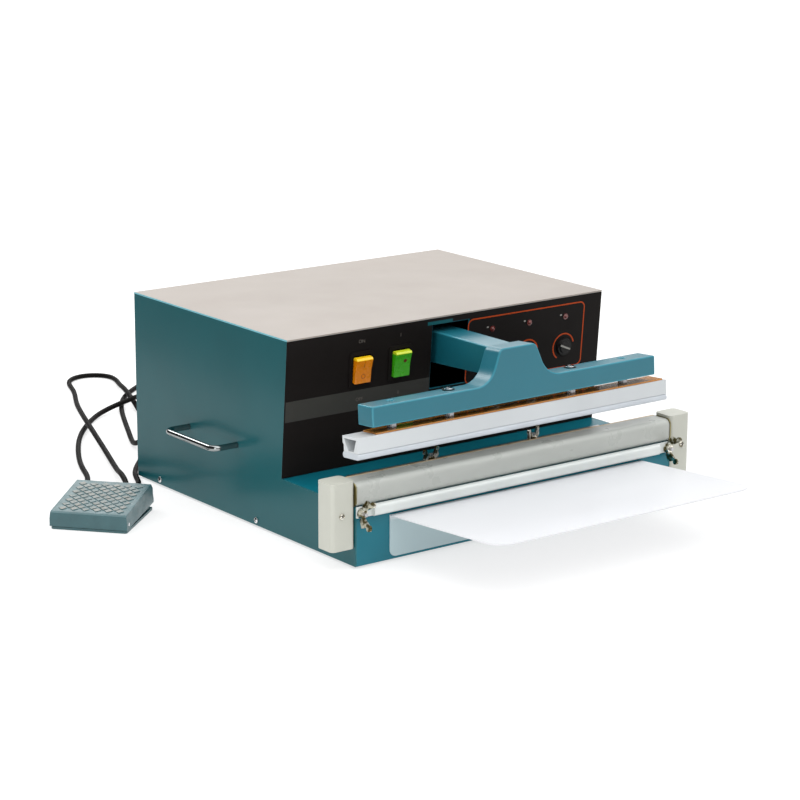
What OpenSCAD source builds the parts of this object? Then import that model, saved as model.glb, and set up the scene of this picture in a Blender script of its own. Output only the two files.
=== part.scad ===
// Tabletop impulse sealer with a foot pedal, in millimetres.
// Origin: middle of the base's footprint on the table. X to the right seen from the front, Y to the rear, Z up.

/* [Housing] */
// Width of the housing
body_w = 520; // [490:1:580]
// Depth of the base from its front face to its rear face
base_d = 506; // [490:1:540]
// Height of the housing above its underside
body_h = 257; // [250:1:280]
// Height of the front ledge above the underside
ledge_h = 75; // [70:1:80]
// Depth of the top cover
top_d = 363; // [350:1:375]
// How far the foot of the front wall stands behind the top's front edge
wall_lean = 14; // [4:1:20]
// Thickness of the sheet steel
sheet_t = 2; // [1.5:0.25:2.5]
// Thickness of the top cover
lid_t = 2; // [1.5:0.25:3]
// Height of the turned-in flanges and lips
flange_h = 14; // [12:1:20]
// Height of the rubber feet
foot_h = 3; // [2:0.5:6]
// Diameter of the rubber feet
foot_dia = 30; // [20:1:40]
// Distance of the feet from the housing's outline
foot_inset = 45; // [30:1:70]

/* [Handles] */
// Distance between the two legs of a handle
handle_span = 114; // [90:1:130]
// How far a handle stands out of the side
handle_reach = 40; // [34:1:50]
// Diameter of the handle's rod
handle_rod = 8; // [6:0.5:10]
// Bend radius at the middle of the rod
handle_bend = 11; // [8:1:16]
// Height of the handles above the underside
handle_h = 97.5; // [90:0.5:130]
// Place of the handle's middle along the depth
handle_y = 63; // [40:1:80]

/* [Control panel] */
// Thickness of the black panel
panel_t = 1; // [0.8:0.1:1.5]
// Width of the arm's slot in the wall
slot_w = 60; // [54:1:70]
// How much the panel's cut-out is wider than the slot on each side
slot_margin = 1; // [0.5:0.5:12]
// How much the panel's cut-out is higher than the slot
slot_over = 1; // [0.5:0.5:6]
// Height of the slot
slot_tall = 86; // [80:1:90]
// Distance of the slot's upper end below the housing's top
slot_drop = 11; // [9:0.5:13]
// Width of a rocker
rocker_w = 25; // [20:1:30]
// Height of a rocker
rocker_h = 34; // [28:1:40]
// Distance of the power rocker from the middle
power_x = 144; // [130:1:160]
// Distance of the mode rocker from the middle
mode_x = 82; // [70:1:90]
// Distance of the rockers below the housing's top
rocker_drop = 53; // [42:1:66]
// Lean of a rocker to either side
rocker_lean = 7; // [4:0.5:9]
// Place of the middle knob from the middle of the housing
knob_x = 133.5; // [125:0.5:140]
// Distance between knobs
knob_pitch = 63.5; // [50:0.5:68]
// Distance of the knobs below the housing's top
knob_drop = 71; // [60:1:80]
// Diameter of a knob's skirt
knob_dia = 25; // [18:1:30]
// Height of a knob
knob_h = 6; // [5:0.5:16]
// Diameter of a knob's spindle
spindle_dia = 6; // [5:0.5:7]
// Distance of the lamps below the housing's top
lamp_drop = 29; // [20:1:36]
// Diameter of a lamp
lamp_dia = 5; // [4:0.5:8]

/* [Lower jaw] */
// Depth of the lower jaw
jaw_d = 33; // [28:1:38]
// Height of the lower jaw
jaw_h = 30; // [26:1:32]
// Rounding of the lower jaw's front edges
jaw_round = 8; // [5:0.5:9]
// Gap between the lower jaw and each end block
jaw_end_gap = 2; // [1:0.5:4]
// Width of the insulator under the heater strip
insulator_w = 14; // [10:1:16]
// Thickness of the insulator
insulator_t = 1.6; // [1:0.1:2.5]
// Width of the heater strip
heater_w = 5; // [3:0.5:8]
// Thickness of the heater strip
heater_t = 0.4; // [0.2:0.05:0.6]
// Thickness of the coated cover
cover_t = 0.35; // [0.2:0.05:0.6]
// How far the cover hangs down behind the jaw
cover_tail = 14; // [8:1:20]

/* [End blocks and clamps] */
// Width of an end block
block_w = 35; // [28:1:38]
// Depth of an end block
block_d = 32; // [28:1:36]
// Height of an end block
block_h = 85.5; // [74:0.5:94]
// How far an end block rises above the ledge
block_rise = 34.5; // [26:0.5:38]
// Rounding of an end block's upright edges
block_round = 6; // [3:0.5:9]
// Height of the front clamp bar
bar_h = 14; // [11:0.5:16]
// Depth of the front clamp bar
bar_d = 8; // [6:0.5:10]
// How far the clamp bar's top stands above the ledge
bar_up = 1; // [0:0.5:3]
// Thickness of the flat tab at each end of the clamp bar
tab_t = 2; // [1.5:0.25:3]
// Diameter of the clamp studs
stud_dia = 5; // [4:0.5:6]
// Reach of a front wing from its nut's axis
wing_reach = 17.5; // [15:0.5:19]
// How far the front wings rise above their nut's hub
wing_rise = 15; // [8:0.5:18]
// How far the rear wings rise above their nut's hub
rear_wing_rise = 10; // [3:0.5:12]
// Depth of the rear clamp strip
strip_d = 26; // [20:1:30]
// Height of the rear clamp strip
strip_h = 12; // [8:1:16]
// Length of the rear clamp strip
strip_l = 420; // [300:1:460]
// Distance between the rear wing nuts
strip_pitch = 170; // [120:1:240]
// Distance of the rear clamp studs behind the base's front
strip_back = 76; // [70:1:84]

/* [Tray] */
// Width of the tray
tray_w = 416; // [360:1:440]
// Reach of the tray in front of the base
tray_reach = 213; // [150:1:240]
// Tilt of the tray
tray_tilt = 3.6; // [0:0.2:6]
// Thickness of the tray's sheet
tray_t = 1.5; // [1:0.1:2]
// Height of the tray's upright flange
tray_flange = 54; // [40:1:55]
// Distance from the clamp bar down to the tray
tray_drop = 4.5; // [1:0.5:6]
// Radius of the tray's front corners
tray_corner = 26; // [15:1:60]
// Distance between the tray's screws
tray_pitch = 140; // [100:1:330]

/* [Press arm] */
// Angle between the open and the closed arm
open_deg = 4.2; // [3.8:0.1:4.6]
// Distance of the arm's pivot from the middle of the base
pivot_y = 120; // [105:1:135]
// Distance of the pivot below the housing's top
pivot_drop = 57; // [52:1:62]
// Width of the arm
arm_w = 40; // [34:1:46]
// Height of the arm's level top above the pivot
arm_rise = 35; // [32:1:38]
// Height of the arm at its front end
arm_h = 37; // [33:1:40]
// Diameter of the arm's hub
hub_dia = 50; // [44:1:56]
// Length of the cross beam
beam_w = 463; // [420:1:480]
// Depth of the cross beam
beam_d = 31; // [26:1:36]
// Height of the cross beam
beam_h = 26; // [22:1:30]
// Height of the hump above the cross beam
hump_h = 44; // [40:1:48]
// Half width of the hump's top
hump_top = 29; // [26:1:32]
// Half width of the hump at the beam's top, without the fillet
hump_foot = 47; // [42:1:52]
// Radius between the hump and the beam
hump_fillet = 32; // [16:1:36]
// Diameter of the pivot shaft
shaft_dia = 16; // [12:1:18]
// Wall of the arm's bushes
bush_wall = 3; // [2:0.5:4]

/* [Upper jaw] */
// Length of the upper jaw
upper_l = 507; // [480:1:512]
// Depth of the upper jaw
upper_d = 31; // [28:1:33]
// Height of the upper jaw above its lip
upper_h = 19.5; // [17:0.5:22]
// Wall of the upper jaw
upper_wall = 3; // [2:0.5:4]
// Length of the lip under the upper jaw
lip_l = 507; // [480:1:512]
// Depth of the lip
lip_d = 33; // [30:1:35]
// Height of the lip
lip_h = 8; // [6:0.5:9]
// Thickness of the insulation strip on the upper jaw
amber_t = 2; // [1:0.5:4]
// How far the upper jaw's middle stands behind the heater's
jaw_back = 3.5; // [1:0.5:5]
// Gap between the cross beam and the upper jaw
beam_gap = 10; // [8:0.5:12]
// Distance of the jaw bolts from the middle
bolt_x = 100; // [80:1:120]
// Distance of the levelling screws from the middle
level_x = 190; // [160:1:210]
// Diameter of the jaw bolts
bolt_dia = 8; // [6:0.5:10]

/* [Drive] */
// Distance of the electromagnet in front of the pivot
pull_y = 120; // [115:1:125]
// Height of the pull pin below the pivot
pull_drop = 28; // [26:1:32]
// Diameter of the plunger
plunger_dia = 24; // [20:1:28]
// Outer diameter of the coil
coil_dia = 66; // [56:1:76]
// Height of the coil
coil_h = 72; // [60:1:78]
// Distance of the return spring in front of the pivot
spring_y = 62; // [56:1:66]
// Outer diameter of the return spring
spring_dia = 22; // [18:1:26]
// Wire of the return spring
spring_wire = 2.6; // [2:0.2:3.2]

/* [Foot pedal] */
// Width of the pedal
pedal_w = 104; // [95:1:112]
// Depth of the pedal
pedal_d = 114; // [104:1:118]
// Height of the pedal's front
pedal_front = 24; // [22:0.5:28]
// Height of the pedal's back
pedal_back = 36; // [34:0.5:42]
// Wall of the pedal's cover
pedal_wall = 2.5; // [2:0.25:3.5]
// Thickness of the pedal's base plate
pedal_plate = 3.5; // [3:0.25:4]
// Travel of the pedal's cover
pedal_deg = 3; // [2:0.25:3.25]
// Diameter of the pedal's hinge pin
pedal_pin_dia = 5; // [4:0.5:6]
// Depth of the raised diamonds on the tread
tread_h = 0.8; // [0.4:0.1:1.5]

/* [Cord] */
// Diameter of the foot cord
cord_dia = 7.5; // [6:0.5:8]
// Length of a cord gland's taper
gland_taper = 28; // [28:0.5:29]

/* [Hidden] */
// Smoothness of round solids
$fn = 48;
// Radial clearance of a pin that turns in its bore
run_fit = 0.05;
// Radial clearance of a bolt or rod in its hole
hole_fit = 0.1;
// Gap between pieces that move past each other
move_gap = 0.4;
// Overlap of two shapes that are one piece
weld = 1;
// Length of a cut beyond the faces that it passes
past = 2;

// Levels and planes of the housing
under_z = foot_h;
floor_z = under_z + sheet_t;
ledge_z = under_z + ledge_h;
lid_z = under_z + body_h - lid_t;
front_y = -base_d / 2;
rear_y = base_d / 2;
edge_y = rear_y - top_d;
wall_y = edge_y + wall_lean;
side_x = body_w / 2;
inner_x = side_x - sheet_t;
wall_h = lid_z - ledge_z;
wall_len = norm([wall_lean, wall_h]);
lean = atan(wall_lean / wall_h);
skin = panel_t + sheet_t;

// Case screws
screw_dia = 4;
screw_head = 8;
screw_dome = 2.6;
screw_z = under_z + flange_h / 2;
side_screw_rear = 58;
side_screw_gap = 233;
side_screw_ys = [rear_y - side_screw_rear, rear_y - side_screw_rear - side_screw_gap];
rear_screw_in = 60;
rear_screw_xs = [rear_screw_in - inner_x, inner_x - rear_screw_in];

// Handles
leg_ys = [handle_y - handle_span / 2, handle_y + handle_span / 2];
handle_z = under_z + handle_h;
nut_h = 5;

// Places on the leaning wall, measured from its foot
wall_rise = body_h - ledge_h;
rocker_v = (wall_rise - rocker_drop) / cos(lean);
knob_v = (wall_rise - knob_drop) / cos(lean);
lamp_v = (wall_rise - lamp_drop) / cos(lean);
slot_v1 = (wall_rise - slot_drop) / cos(lean);
slot_v0 = slot_v1 - slot_tall / cos(lean);
knob_xs = [knob_x - knob_pitch, knob_x, knob_x + knob_pitch];
wall_top_gap = 0.6;

// Rocker switches
switch_rim = 3;
switch_wall = 2;
switch_flange = 2;
switch_depth = 24;
rocker_play = 1.2;
rocker_grip = switch_wall * 0.6;
rocker_pin = 4;
rocker_axle = -2;
rocker_front = 8;
rocker_dish = 1.5;
rocker_foot = -7;

// Knobs and potentiometers
bush_dia = spindle_dia + 3;
pot_dia = 22;
pot_depth = 12;
spindle_in = 8;
knob_gap = 0.5;
knob_skirt = 3;
knob_cap = knob_dia - 7;
knob_turn = 157;

// Lamps
lamp_rim = lamp_dia + 3;
lamp_rim_h = 1;
lamp_depth = 8;

// Lower jaw, with the line where the jaws meet
jaw_l = 2 * (side_x - jaw_end_gap);
seal_y = front_y + jaw_round + (jaw_d - jaw_round) / 2;
jaw_top = ledge_z + jaw_h;
groove_h = insulator_t + heater_t;
cover_gap = 0.05;
cover_top = jaw_top + cover_gap + cover_t;
cover_lift = 0.3;
heater_short = 4;

// End blocks, clamp bar and its studs
block_z = ledge_z + block_rise - block_h;
bar_z = ledge_z + bar_up - bar_h;
bar_gap = 1;
bar_l = 2 * (side_x - bar_gap);
bar_round = bar_d / 2;
stud_x = inner_x - stud_dia - 0.5;
stud_drop = 7;
stud_z = ledge_z - stud_drop;
wing_hub = stud_dia + 8;
wing_hub_h = 7;
wing_root = wing_hub / 2 + 3;
wing_t = 3;
rear_wing_reach = wing_reach - 1.5;
wing_turns = [12, 10];
wing_clear = wing_root + (bar_d - tab_t - 1 + move_gap) * (wing_reach - wing_root) / (wing_hub_h - 1);
bar_full = 2 * (stud_x - wing_clear);
stud_out = 4;
block_screw_x = side_x + block_w * 0.58;
block_screw_dia = 3.5;
block_screw_in = 12;

// Rear clamp strip
strip_y = front_y + strip_back;
strip_stud_under = 8;
rear_wing_turns = [17, 25];

// Tray
tray_z = bar_z - tray_drop;
flange_round = 9;
tray_screw_z = tray_z - tray_flange / 2;

// Press arm, drawn closed for the beam and turned open about the pivot
pivot_z = under_z + body_h - pivot_drop;
lip_z = cover_top + move_gap;
upper_z = lip_z + lip_h;
amber_z = upper_z + upper_h;
beam_z = upper_z + upper_h + beam_gap;
jaw_mid = seal_y + jaw_back;
beam_front = jaw_mid - beam_d / 2 - 3;
arm_top = pivot_z + arm_rise;
arm_front = front_y + beam_d / 2 + 8;
arm_wall_low = arm_top - arm_h - 6;
hub_r = hub_dia / 2;
bush_dia_out = shaft_dia + 2 * (run_fit + bush_wall);
bush_flange = 1.5;
hump_round = 9;

// Pivot brackets
bracket_t = 6;
bracket_w = 70;
bracket_x = arm_w / 2 + bush_flange + move_gap;
bracket_foot = 34;
bracket_head = 30;
shaft_head = 3;
collar_l = 8;

// Jaw bolts
bolt_head = bolt_dia * 1.625;
bolt_head_h = 2.5;
bolt_socket = bolt_dia * 0.75;
bolt_socket_in = 2;
bolt_in = upper_wall + 5;
spacer_h = beam_gap - amber_t;
amber_left = 30;
amber_right = 5;
channel_floor = 1.5;
channel_taper = 6;
step_in = 2;

// Electromagnet
magnet_y = pivot_y - pull_y;
pull_z = pivot_z - pull_drop;
pull_pin = 8;
lug_t = 12;
lug_r = 11;
lug_slot = 3;
lug_play = 0.6;
fork_t = 6;
stroke = pull_y * sin(open_deg) + pull_drop * (1 - cos(open_deg));
magnet_t = 8;
coil_bore = plunger_dia + 2;
magnet_w = coil_dia + 2 * magnet_t + 4;
magnet_top = floor_z + magnet_t + coil_h;
plunger_low = floor_z + magnet_t + stroke + 4;

// Return spring between its post and the arm's pad
spring_place = pivot_y - spring_y;
spring_post_h = 40;
spring_hang = 30;
spring_top = pivot_z - spring_hang;
spring_turns = 9;
spring_low = floor_z + spring_post_h;

// Transformer and timer board
core_w = 96;
core_d = 80;
core_h = 84;
core_x = 150;
core_y = 120;
leg_w = core_w / 4;
coil_over = 14;
board_w = 130;
board_d = 110;
board_t = 1.6;
board_x = -150;
board_y = 60;
boss_h = 10;
relay_w = 30;
relay_d = 26;
relay_h = 24;
terminal_w = 80;
terminal_d = 12;
terminal_h = 14;
capacitor_dia = 14;
capacitor_h = 28;
capacitor_pitch = 19;
boss_dia = 8;

// Rear panel fittings
inlet_w = 28;
inlet_h = 21;
inlet_flange = 48;
inlet_depth = 17;
inlet_x = 170;
inlet_rise = 60;
inlet_z = under_z + inlet_rise;
inlet_wall = 1.5;
inlet_pins = [[-7, -2], [0, -6], [7, -2]];
gland_x = -190;
gland_rise = 35;
gland_z = under_z + gland_rise;
gland_nut = 14;
gland_nut_h = 7;
gland_tip = cord_dia + 2;
gland_root = gland_tip + 2;
vent_pitch = 12;
vent_count = 9;
vent_l = 60;
vent_w = 4;

// Foot pedal, in its own frame: X along its width, Y to its back
pedal_place = [-400, 112, 0];
pedal_turn = -49;
pedal_axis_y = -pedal_d / 2 + 9;
pedal_axis_z = pedal_plate + 7;
pedal_lift = 0.6;
pedal_taper = 1;
pedal_shoulder = pedal_front - 2;
pedal_skirt = pedal_axis_z + pedal_pin_dia / 2 + 1;
pedal_inset = 1;
ear_t = 5;
ear_r = 6;
ear_x = pedal_w / 2 - pedal_wall - pedal_taper - ear_t - 1;
tread_size = 8;
tread_cols = 6;
tread_rows = 7;
pedal_gland_z = pedal_plate + gland_nut / 2 + 1;
pedal_gland_w = gland_nut + 2;
pedal_post_t = 4;
pedal_post_y = pedal_d / 2 - 14;
switch_box = [20, 28, 13];
pedal_spring_dia = 12;
pedal_spring_wire = 1.2;
pedal_spring_turns = 5;
pedal_spring_y = 12;
pedal_spring_x = 24;

// Foot cord: from the housing's gland over the table to the pedal's gland
cord_route = [
  [-193, 352, 20.5], [-189, 384, 4], [-158, 444, 4], [-93, 582, 4], [-48, 644, 4], [1, 682, 4],
  [46, 718, 4], [94, 711, 4], [113, 659, 4], [69, 624, 5], [15, 604, 9], [-34, 589, 19.5],
  [-80, 579, 15], [-135, 575, 4], [-187, 520, 4], [-235, 463, 4], [-304, 339, 4], [-320, 280, 4],
  [-353, 240, 4], [-330, 196, 4], [-279, 202, 4], [-269, 262, 4], [-186, 347, 4], [-118, 457, 4],
  [-64, 579, 4], [-48, 641, 17.5], [-18, 708, 4], [8, 766, 4], [-30, 801, 4], [-76, 778, 4],
  [-92, 716, 4], [-132, 647, 5], [-195, 513, 21], [-236, 379, 4], [-286, 263, 9], [-303, 227, 20.5]
];
cord_sides = 10;
cord_steps = 2;

// Colours
teal = [0.24, 0.50, 0.57];
beige = [0.83, 0.80, 0.78];
black = [0.10, 0.10, 0.10];
chrome = [0.80, 0.80, 0.82];
steel = [0.60, 0.61, 0.63];
white = [0.90, 0.91, 0.92];
ivory = [0.88, 0.87, 0.83];
amber = [0.80, 0.50, 0.18];
copper = [0.72, 0.42, 0.22];
pedal_blue = [0.38, 0.50, 0.55];

// Draws a Y-Z outline as a slab that starts at x and is t thick.
module slab_x(x, t) {
  translate([x, 0, 0])
    rotate([90, 0, 90])
      linear_extrude(t)
        children();
}

// Draws an X-Z outline as a slab that starts at y and is t thick towards the rear.
module slab_y(y, t) {
  translate([0, y + t, 0])
    rotate([90, 0, 0])
      linear_extrude(t)
        children();
}

// A rod along X, centred on x = 0.
module rod_x(d, l) {
  rotate([0, 90, 0])
    cylinder(d = d, h = l, center = true);
}

// A rod from y0 to y1 along Y.
module rod_y(d, y0, y1) {
  translate([0, y0, 0])
    rotate([-90, 0, 0])
      cylinder(d = d, h = y1 - y0);
}

// Local frame of the leaning wall: X along it, Y up along it, Z outwards from the panel's face.
module on_wall() {
  translate([0, wall_y, ledge_z])
    rotate([90 + lean, 0, 0])
      children();
}

// Turns what is drawn closed to the open rest position.
module opened() {
  translate([0, pivot_y, pivot_z])
    rotate([-open_deg, 0, 0])
      translate([0, -pivot_y, -pivot_z])
        children();
}

// Foot pedal's own frame.
module at_pedal() {
  translate(pedal_place)
    rotate([0, 0, pedal_turn])
      children();
}

// A rectangle with round corners, w by h, centred.
module round_rect(w, h, r) {
  square([w - 2 * r, h], center = true);
  square([w, h - 2 * r], center = true);
  for (sx = [-1, 1], sy = [-1, 1])
    translate([sx * (w / 2 - r), sy * (h / 2 - r)])
      circle(r);
}

// Section of a bar with a round front, from y = 0 backwards and z = 0 upwards.
module round_front(d, h, r) {
  translate([r, 0])
    square([d - r, h]);
  translate([0, r])
    square([d, h - 2 * r]);
  translate([r, r])
    circle(r);
  translate([r, h - r])
    circle(r);
}

// A screw with a domed head, its shank along -Z from the seat at z = 0.
module dome_screw(d, head, dome, l) {
  translate([0, 0, -l])
    cylinder(d = d, h = l);
  rotate_extrude()
    intersection() {
      translate([0, dome - head])
        circle(head);
      square([head / 2, dome]);
    }
}

function ring(p, t, r, n) =
  let (side = cross(t, [0, 0, 1]) / norm(cross(t, [0, 0, 1])), up = cross(side, t))
  [for (k = [0:n - 1]) p + r * (cos(360 * k / n) * side + sin(360 * k / n) * up)];

function unit(v) = v / norm(v);

// Points of a cubic B-spline that starts and ends on the list's end points.
function spline(pts, steps) =
  let (
    last = len(pts) - 1,
    q = concat([pts[0], pts[0]], pts, [pts[last], pts[last]]),
    body = [
      for (i = [0:len(q) - 4], k = [0:steps - 1])
        let (t = k / steps)
        (q[i] * pow(1 - t, 3) + q[i + 1] * (3 * t * t * t - 6 * t * t + 4)
          + q[i + 2] * (3 * t + 3 * t * t - 3 * t * t * t + 1) + q[i + 3] * t * t * t) / 6
    ]
  )
  concat(body, [pts[last]]);

// Direction of a path at point i, with given directions at its two ends.
function heading(path, i, first, final) =
  i == 0 ? first : i == len(path) - 1 ? final : unit(path[i + 1] - path[i - 1]);

// A closed tube of n sides along a path.
module tube(path, d, n, first, final) {
  m = len(path);
  rings = [for (i = [0:m - 1]) each ring(path[i], heading(path, i, first, final), d / 2, n)];
  sides = [
    for (i = [0:m - 2], k = [0:n - 1])
      let (a = i * n + k, b = i * n + (k + 1) % n)
      each [[a, a + n, b], [b, a + n, b + n]]
  ];
  caps = [
    for (k = [1:n - 2])
      each [[0, k, k + 1], [(m - 1) * n, (m - 1) * n + k + 1, (m - 1) * n + k]]
  ];
  polyhedron(points = rings, faces = concat(sides, caps));
}

// Height of a coil after u turns: its first and last turns rise only by end, the others evenly.
function coil_rise(u, turns, h, end) =
  u <= 1 ? u * end : u >= turns - 1 ? h - (turns - u) * end : end + (u - 1) * (h - 2 * end) / (turns - 2);

// Points of a helix from z0 to z1 with closed end turns.
function helix(r, z0, z1, turns, per_turn, end) = [
  for (i = [0:turns * per_turn])
    [
      r * cos(360 * i / per_turn), r * sin(360 * i / per_turn),
      z0 + coil_rise(i / per_turn, turns, z1 - z0, end)
    ]
];

// Least gap between neighbouring turns of a helix.
function turn_gap(path, per_turn, wire) =
  min([for (i = [0:len(path) - per_turn - 1]) norm(path[i + per_turn] - path[i])]) - wire;

// Coil spring of round wire that stands between z0 and z1.
module coil_spring(dia, wire, z0, z1, turns) {
  per_turn = 8;
  seat = wire / 2 + 0.1;
  path = helix((dia - wire) / 2, z0 + seat, z1 - seat, turns, per_turn, wire + 0.4);
  last = len(path) - 1;
  echo(str("spring, least gap between turns: ", turn_gap(path, per_turn, wire)));
  tube(path, wire, 6, unit(path[1] - path[0]), unit(path[last] - path[last - 1]));
}

// Pan with turned-up flanges, bosses for the board and a post for the return spring.
module base_pan() {
  depth = base_d - 2 * sheet_t;
  color(teal)
    difference() {
      union() {
        translate([-inner_x, front_y + sheet_t, under_z])
          cube([2 * inner_x, depth, sheet_t]);
        for (x = [-inner_x, inner_x - sheet_t])
          translate([x, front_y + sheet_t, under_z])
            cube([sheet_t, depth, flange_h]);
        translate([-inner_x, rear_y - 2 * sheet_t, under_z])
          cube([2 * inner_x, sheet_t, flange_h]);
        for (sx = [-1, 1], sy = [-1, 1])
          translate([board_x + sx * (board_w / 2 - boss_dia), board_y + sy * (board_d / 2 - boss_dia), floor_z - weld])
            cylinder(d = boss_dia, h = boss_h + weld);
        translate([0, spring_place, floor_z - weld])
          cylinder(d = spring_dia + 4, h = spring_post_h + weld);
      }
      for (y = side_screw_ys)
        translate([0, y, screw_z])
          rod_x(screw_dia + 2 * hole_fit, body_w + past);
      for (x = rear_screw_xs)
        translate([x, 0, screw_z])
          rod_y(screw_dia + 2 * hole_fit, rear_y - 3 * sheet_t, rear_y + past);
    }
}

// Holes of the leaning wall and its panel; side and over make the arm's slot larger.
module wall_holes(side, over) {
  translate([-slot_w / 2 - side, slot_v0 - over])
    square([slot_w + 2 * side, slot_v1 - slot_v0 + 2 * over]);
  for (x = [-power_x, -mode_x])
    translate([x, rocker_v])
      square([rocker_w + 2 * (rocker_play + switch_wall + hole_fit), rocker_h + 2 * (rocker_play + switch_wall + hole_fit)], center = true);
  for (x = knob_xs) {
    translate([x, knob_v])
      circle(d = bush_dia + 2 * hole_fit);
    translate([x, lamp_v])
      circle(d = lamp_dia + 2 * hole_fit);
  }
}

// Point of the leaning wall's section, v up along it and w outwards from the panel's face.
function on_lean(v, w) = [wall_y - v * sin(lean) - w * cos(lean), ledge_z + v * cos(lean) - w * sin(lean)];

// Bent sheet: front face, ledge and leaning wall.
module front_casing() {
  top_v = wall_len - wall_top_gap;
  low_z = ledge_z - sheet_t;
  color(teal)
    difference() {
      slab_x(-inner_x, 2 * inner_x)
        polygon([
          [front_y, under_z], [front_y, ledge_z], [wall_y + panel_t / cos(lean), ledge_z],
          on_lean(top_v, -panel_t), on_lean(top_v, -skin),
          [wall_y + skin / cos(lean) + sheet_t * tan(lean), low_z],
          [front_y + sheet_t, low_z], [front_y + sheet_t, under_z]
        ]);
      on_wall()
        translate([0, 0, -skin - past])
          linear_extrude(skin + 2 * past)
            wall_holes(0, 0);
      for (sx = [-1, 1]) {
        translate([sx * stud_x, 0, stud_z])
          rod_y(stud_dia + 2 * hole_fit, front_y - past, front_y + sheet_t + past);
        translate([sx * tray_pitch / 2, 0, tray_screw_z])
          rod_y(screw_dia + 2 * hole_fit, front_y - past, front_y + sheet_t + past);
        translate([sx * strip_pitch / 2, strip_y, low_z - past])
          cylinder(d = stud_dia + 2 * hole_fit, h = sheet_t + 2 * past);
      }
    }
}

// Black panel on the leaning wall and on the side sheets' edges.
module control_panel() {
  color(black)
    on_wall()
      translate([0, 0, -panel_t])
        linear_extrude(panel_t)
          difference() {
            translate([-side_x, wall_top_gap])
              square([body_w, wall_len - 2 * wall_top_gap]);
            wall_holes(slot_margin, slot_over);
          }
}

// Side sheet that starts at x, with holes for its screws and the handle's legs.
module side_panel(x) {
  color(teal)
    difference() {
      slab_x(x, sheet_t)
        polygon([
          [front_y, under_z], [rear_y, under_z], [rear_y, lid_z],
          [edge_y + panel_t / cos(lean), lid_z], [wall_y + panel_t / cos(lean), ledge_z], [front_y, ledge_z]
        ]);
      for (y = side_screw_ys)
        translate([x, y, screw_z])
          rod_x(screw_dia + 2 * hole_fit, 4 * sheet_t);
      for (y = leg_ys)
        translate([x, y, handle_z])
          rod_x(handle_rod + 2 * hole_fit, 4 * sheet_t);
    }
}

module side_panel_left() {
  side_panel(-side_x);
}

module side_panel_right() {
  side_panel(inner_x);
}

// Rear sheet with the inlet's cut-out, the cord's hole, vents and screw holes.
module rear_panel() {
  color(teal)
    difference() {
      translate([-inner_x, rear_y - sheet_t, under_z])
        cube([2 * inner_x, sheet_t, lid_z - under_z]);
      translate([inlet_x, 0, inlet_z])
        slab_y(rear_y - sheet_t - past, sheet_t + 2 * past)
          square([inlet_w + 2 * hole_fit, inlet_h + 2 * hole_fit], center = true);
      translate([gland_x, 0, gland_z])
        rod_y(gland_root + 2 * hole_fit, rear_y - sheet_t - past, rear_y + past);
      for (i = [0:vent_count - 1])
        translate([(i - (vent_count - 1) / 2) * vent_pitch, 0, lid_z - 2 * flange_h - vent_l / 2])
          slab_y(rear_y - sheet_t - past, sheet_t + 2 * past)
            round_rect(vent_w, vent_l, vent_w / 2 - 0.01);
      for (x = rear_screw_xs, z = [screw_z, lid_z - flange_h / 2])
        translate([x, 0, z])
          rod_y(screw_dia + 2 * hole_fit, rear_y - sheet_t - past, rear_y + past);
    }
}

// Lid with turned-down lips inside the side and rear sheets.
module top_cover() {
  lip_x = inner_x - hole_fit - lid_t;
  lip_l = top_d - 2 * flange_h - sheet_t;
  color(beige)
    difference() {
      union() {
        translate([-side_x, edge_y, lid_z])
          cube([body_w, top_d, lid_t]);
        for (x = [-lip_x - lid_t, lip_x])
          translate([x, edge_y + flange_h, lid_z - flange_h])
            cube([lid_t, lip_l, flange_h + lid_t]);
        translate([-lip_x, rear_y - sheet_t - lid_t, lid_z - flange_h])
          cube([2 * lip_x, lid_t, flange_h + lid_t]);
      }
      for (x = rear_screw_xs)
        translate([x, 0, lid_z - flange_h / 2])
          rod_y(screw_dia + 2 * hole_fit, rear_y - sheet_t - 2 * lid_t, rear_y + past);
    }
}

// Four feet under the pan.
module rubber_feet() {
  color(black)
    for (sx = [-1, 1], sy = [-1, 1])
      translate([sx * (side_x - foot_inset), sy * (base_d / 2 - foot_inset), 0])
        cylinder(d1 = foot_dia - 2, d2 = foot_dia, h = foot_h);
}

// Screws of the side sheets and the rear sheet.
module case_screws() {
  shank = 2 * sheet_t + 4;
  color(chrome) {
    for (sx = [-1, 1], y = side_screw_ys)
      translate([sx * side_x, y, screw_z])
        rotate([0, sx * 90, 0])
          dome_screw(screw_dia, screw_head, screw_dome, shank);
    for (x = rear_screw_xs, z = [screw_z, lid_z - flange_h / 2])
      translate([x, rear_y, z])
        rotate([-90, 0, 0])
          dome_screw(screw_dia, screw_head, screw_dome, shank);
  }
}

// Bent rod on the side given by s, its legs through the side sheet.
module handle(s) {
  bar_x = side_x + handle_reach - handle_rod / 2;
  leg_l = handle_reach - handle_rod / 2 - handle_bend + sheet_t + nut_h + 2;
  color(chrome)
    translate([0, handle_y, handle_z])
      mirror([s < 0 ? 1 : 0, 0, 0]) {
        translate([bar_x, 0, 0])
          rod_y(handle_rod, -handle_span / 2 + handle_bend, handle_span / 2 - handle_bend);
        for (t = [0, 1])
          mirror([0, t, 0]) {
            translate([bar_x - handle_bend, handle_span / 2 - handle_bend, 0])
              rotate_extrude(angle = 90)
                translate([handle_bend, 0])
                  circle(d = handle_rod);
            translate([bar_x - handle_bend - leg_l / 2, handle_span / 2, 0])
              rod_x(handle_rod, leg_l);
          }
      }
}

module handle_left() {
  handle(-1);
}

module handle_right() {
  handle(1);
}

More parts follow.
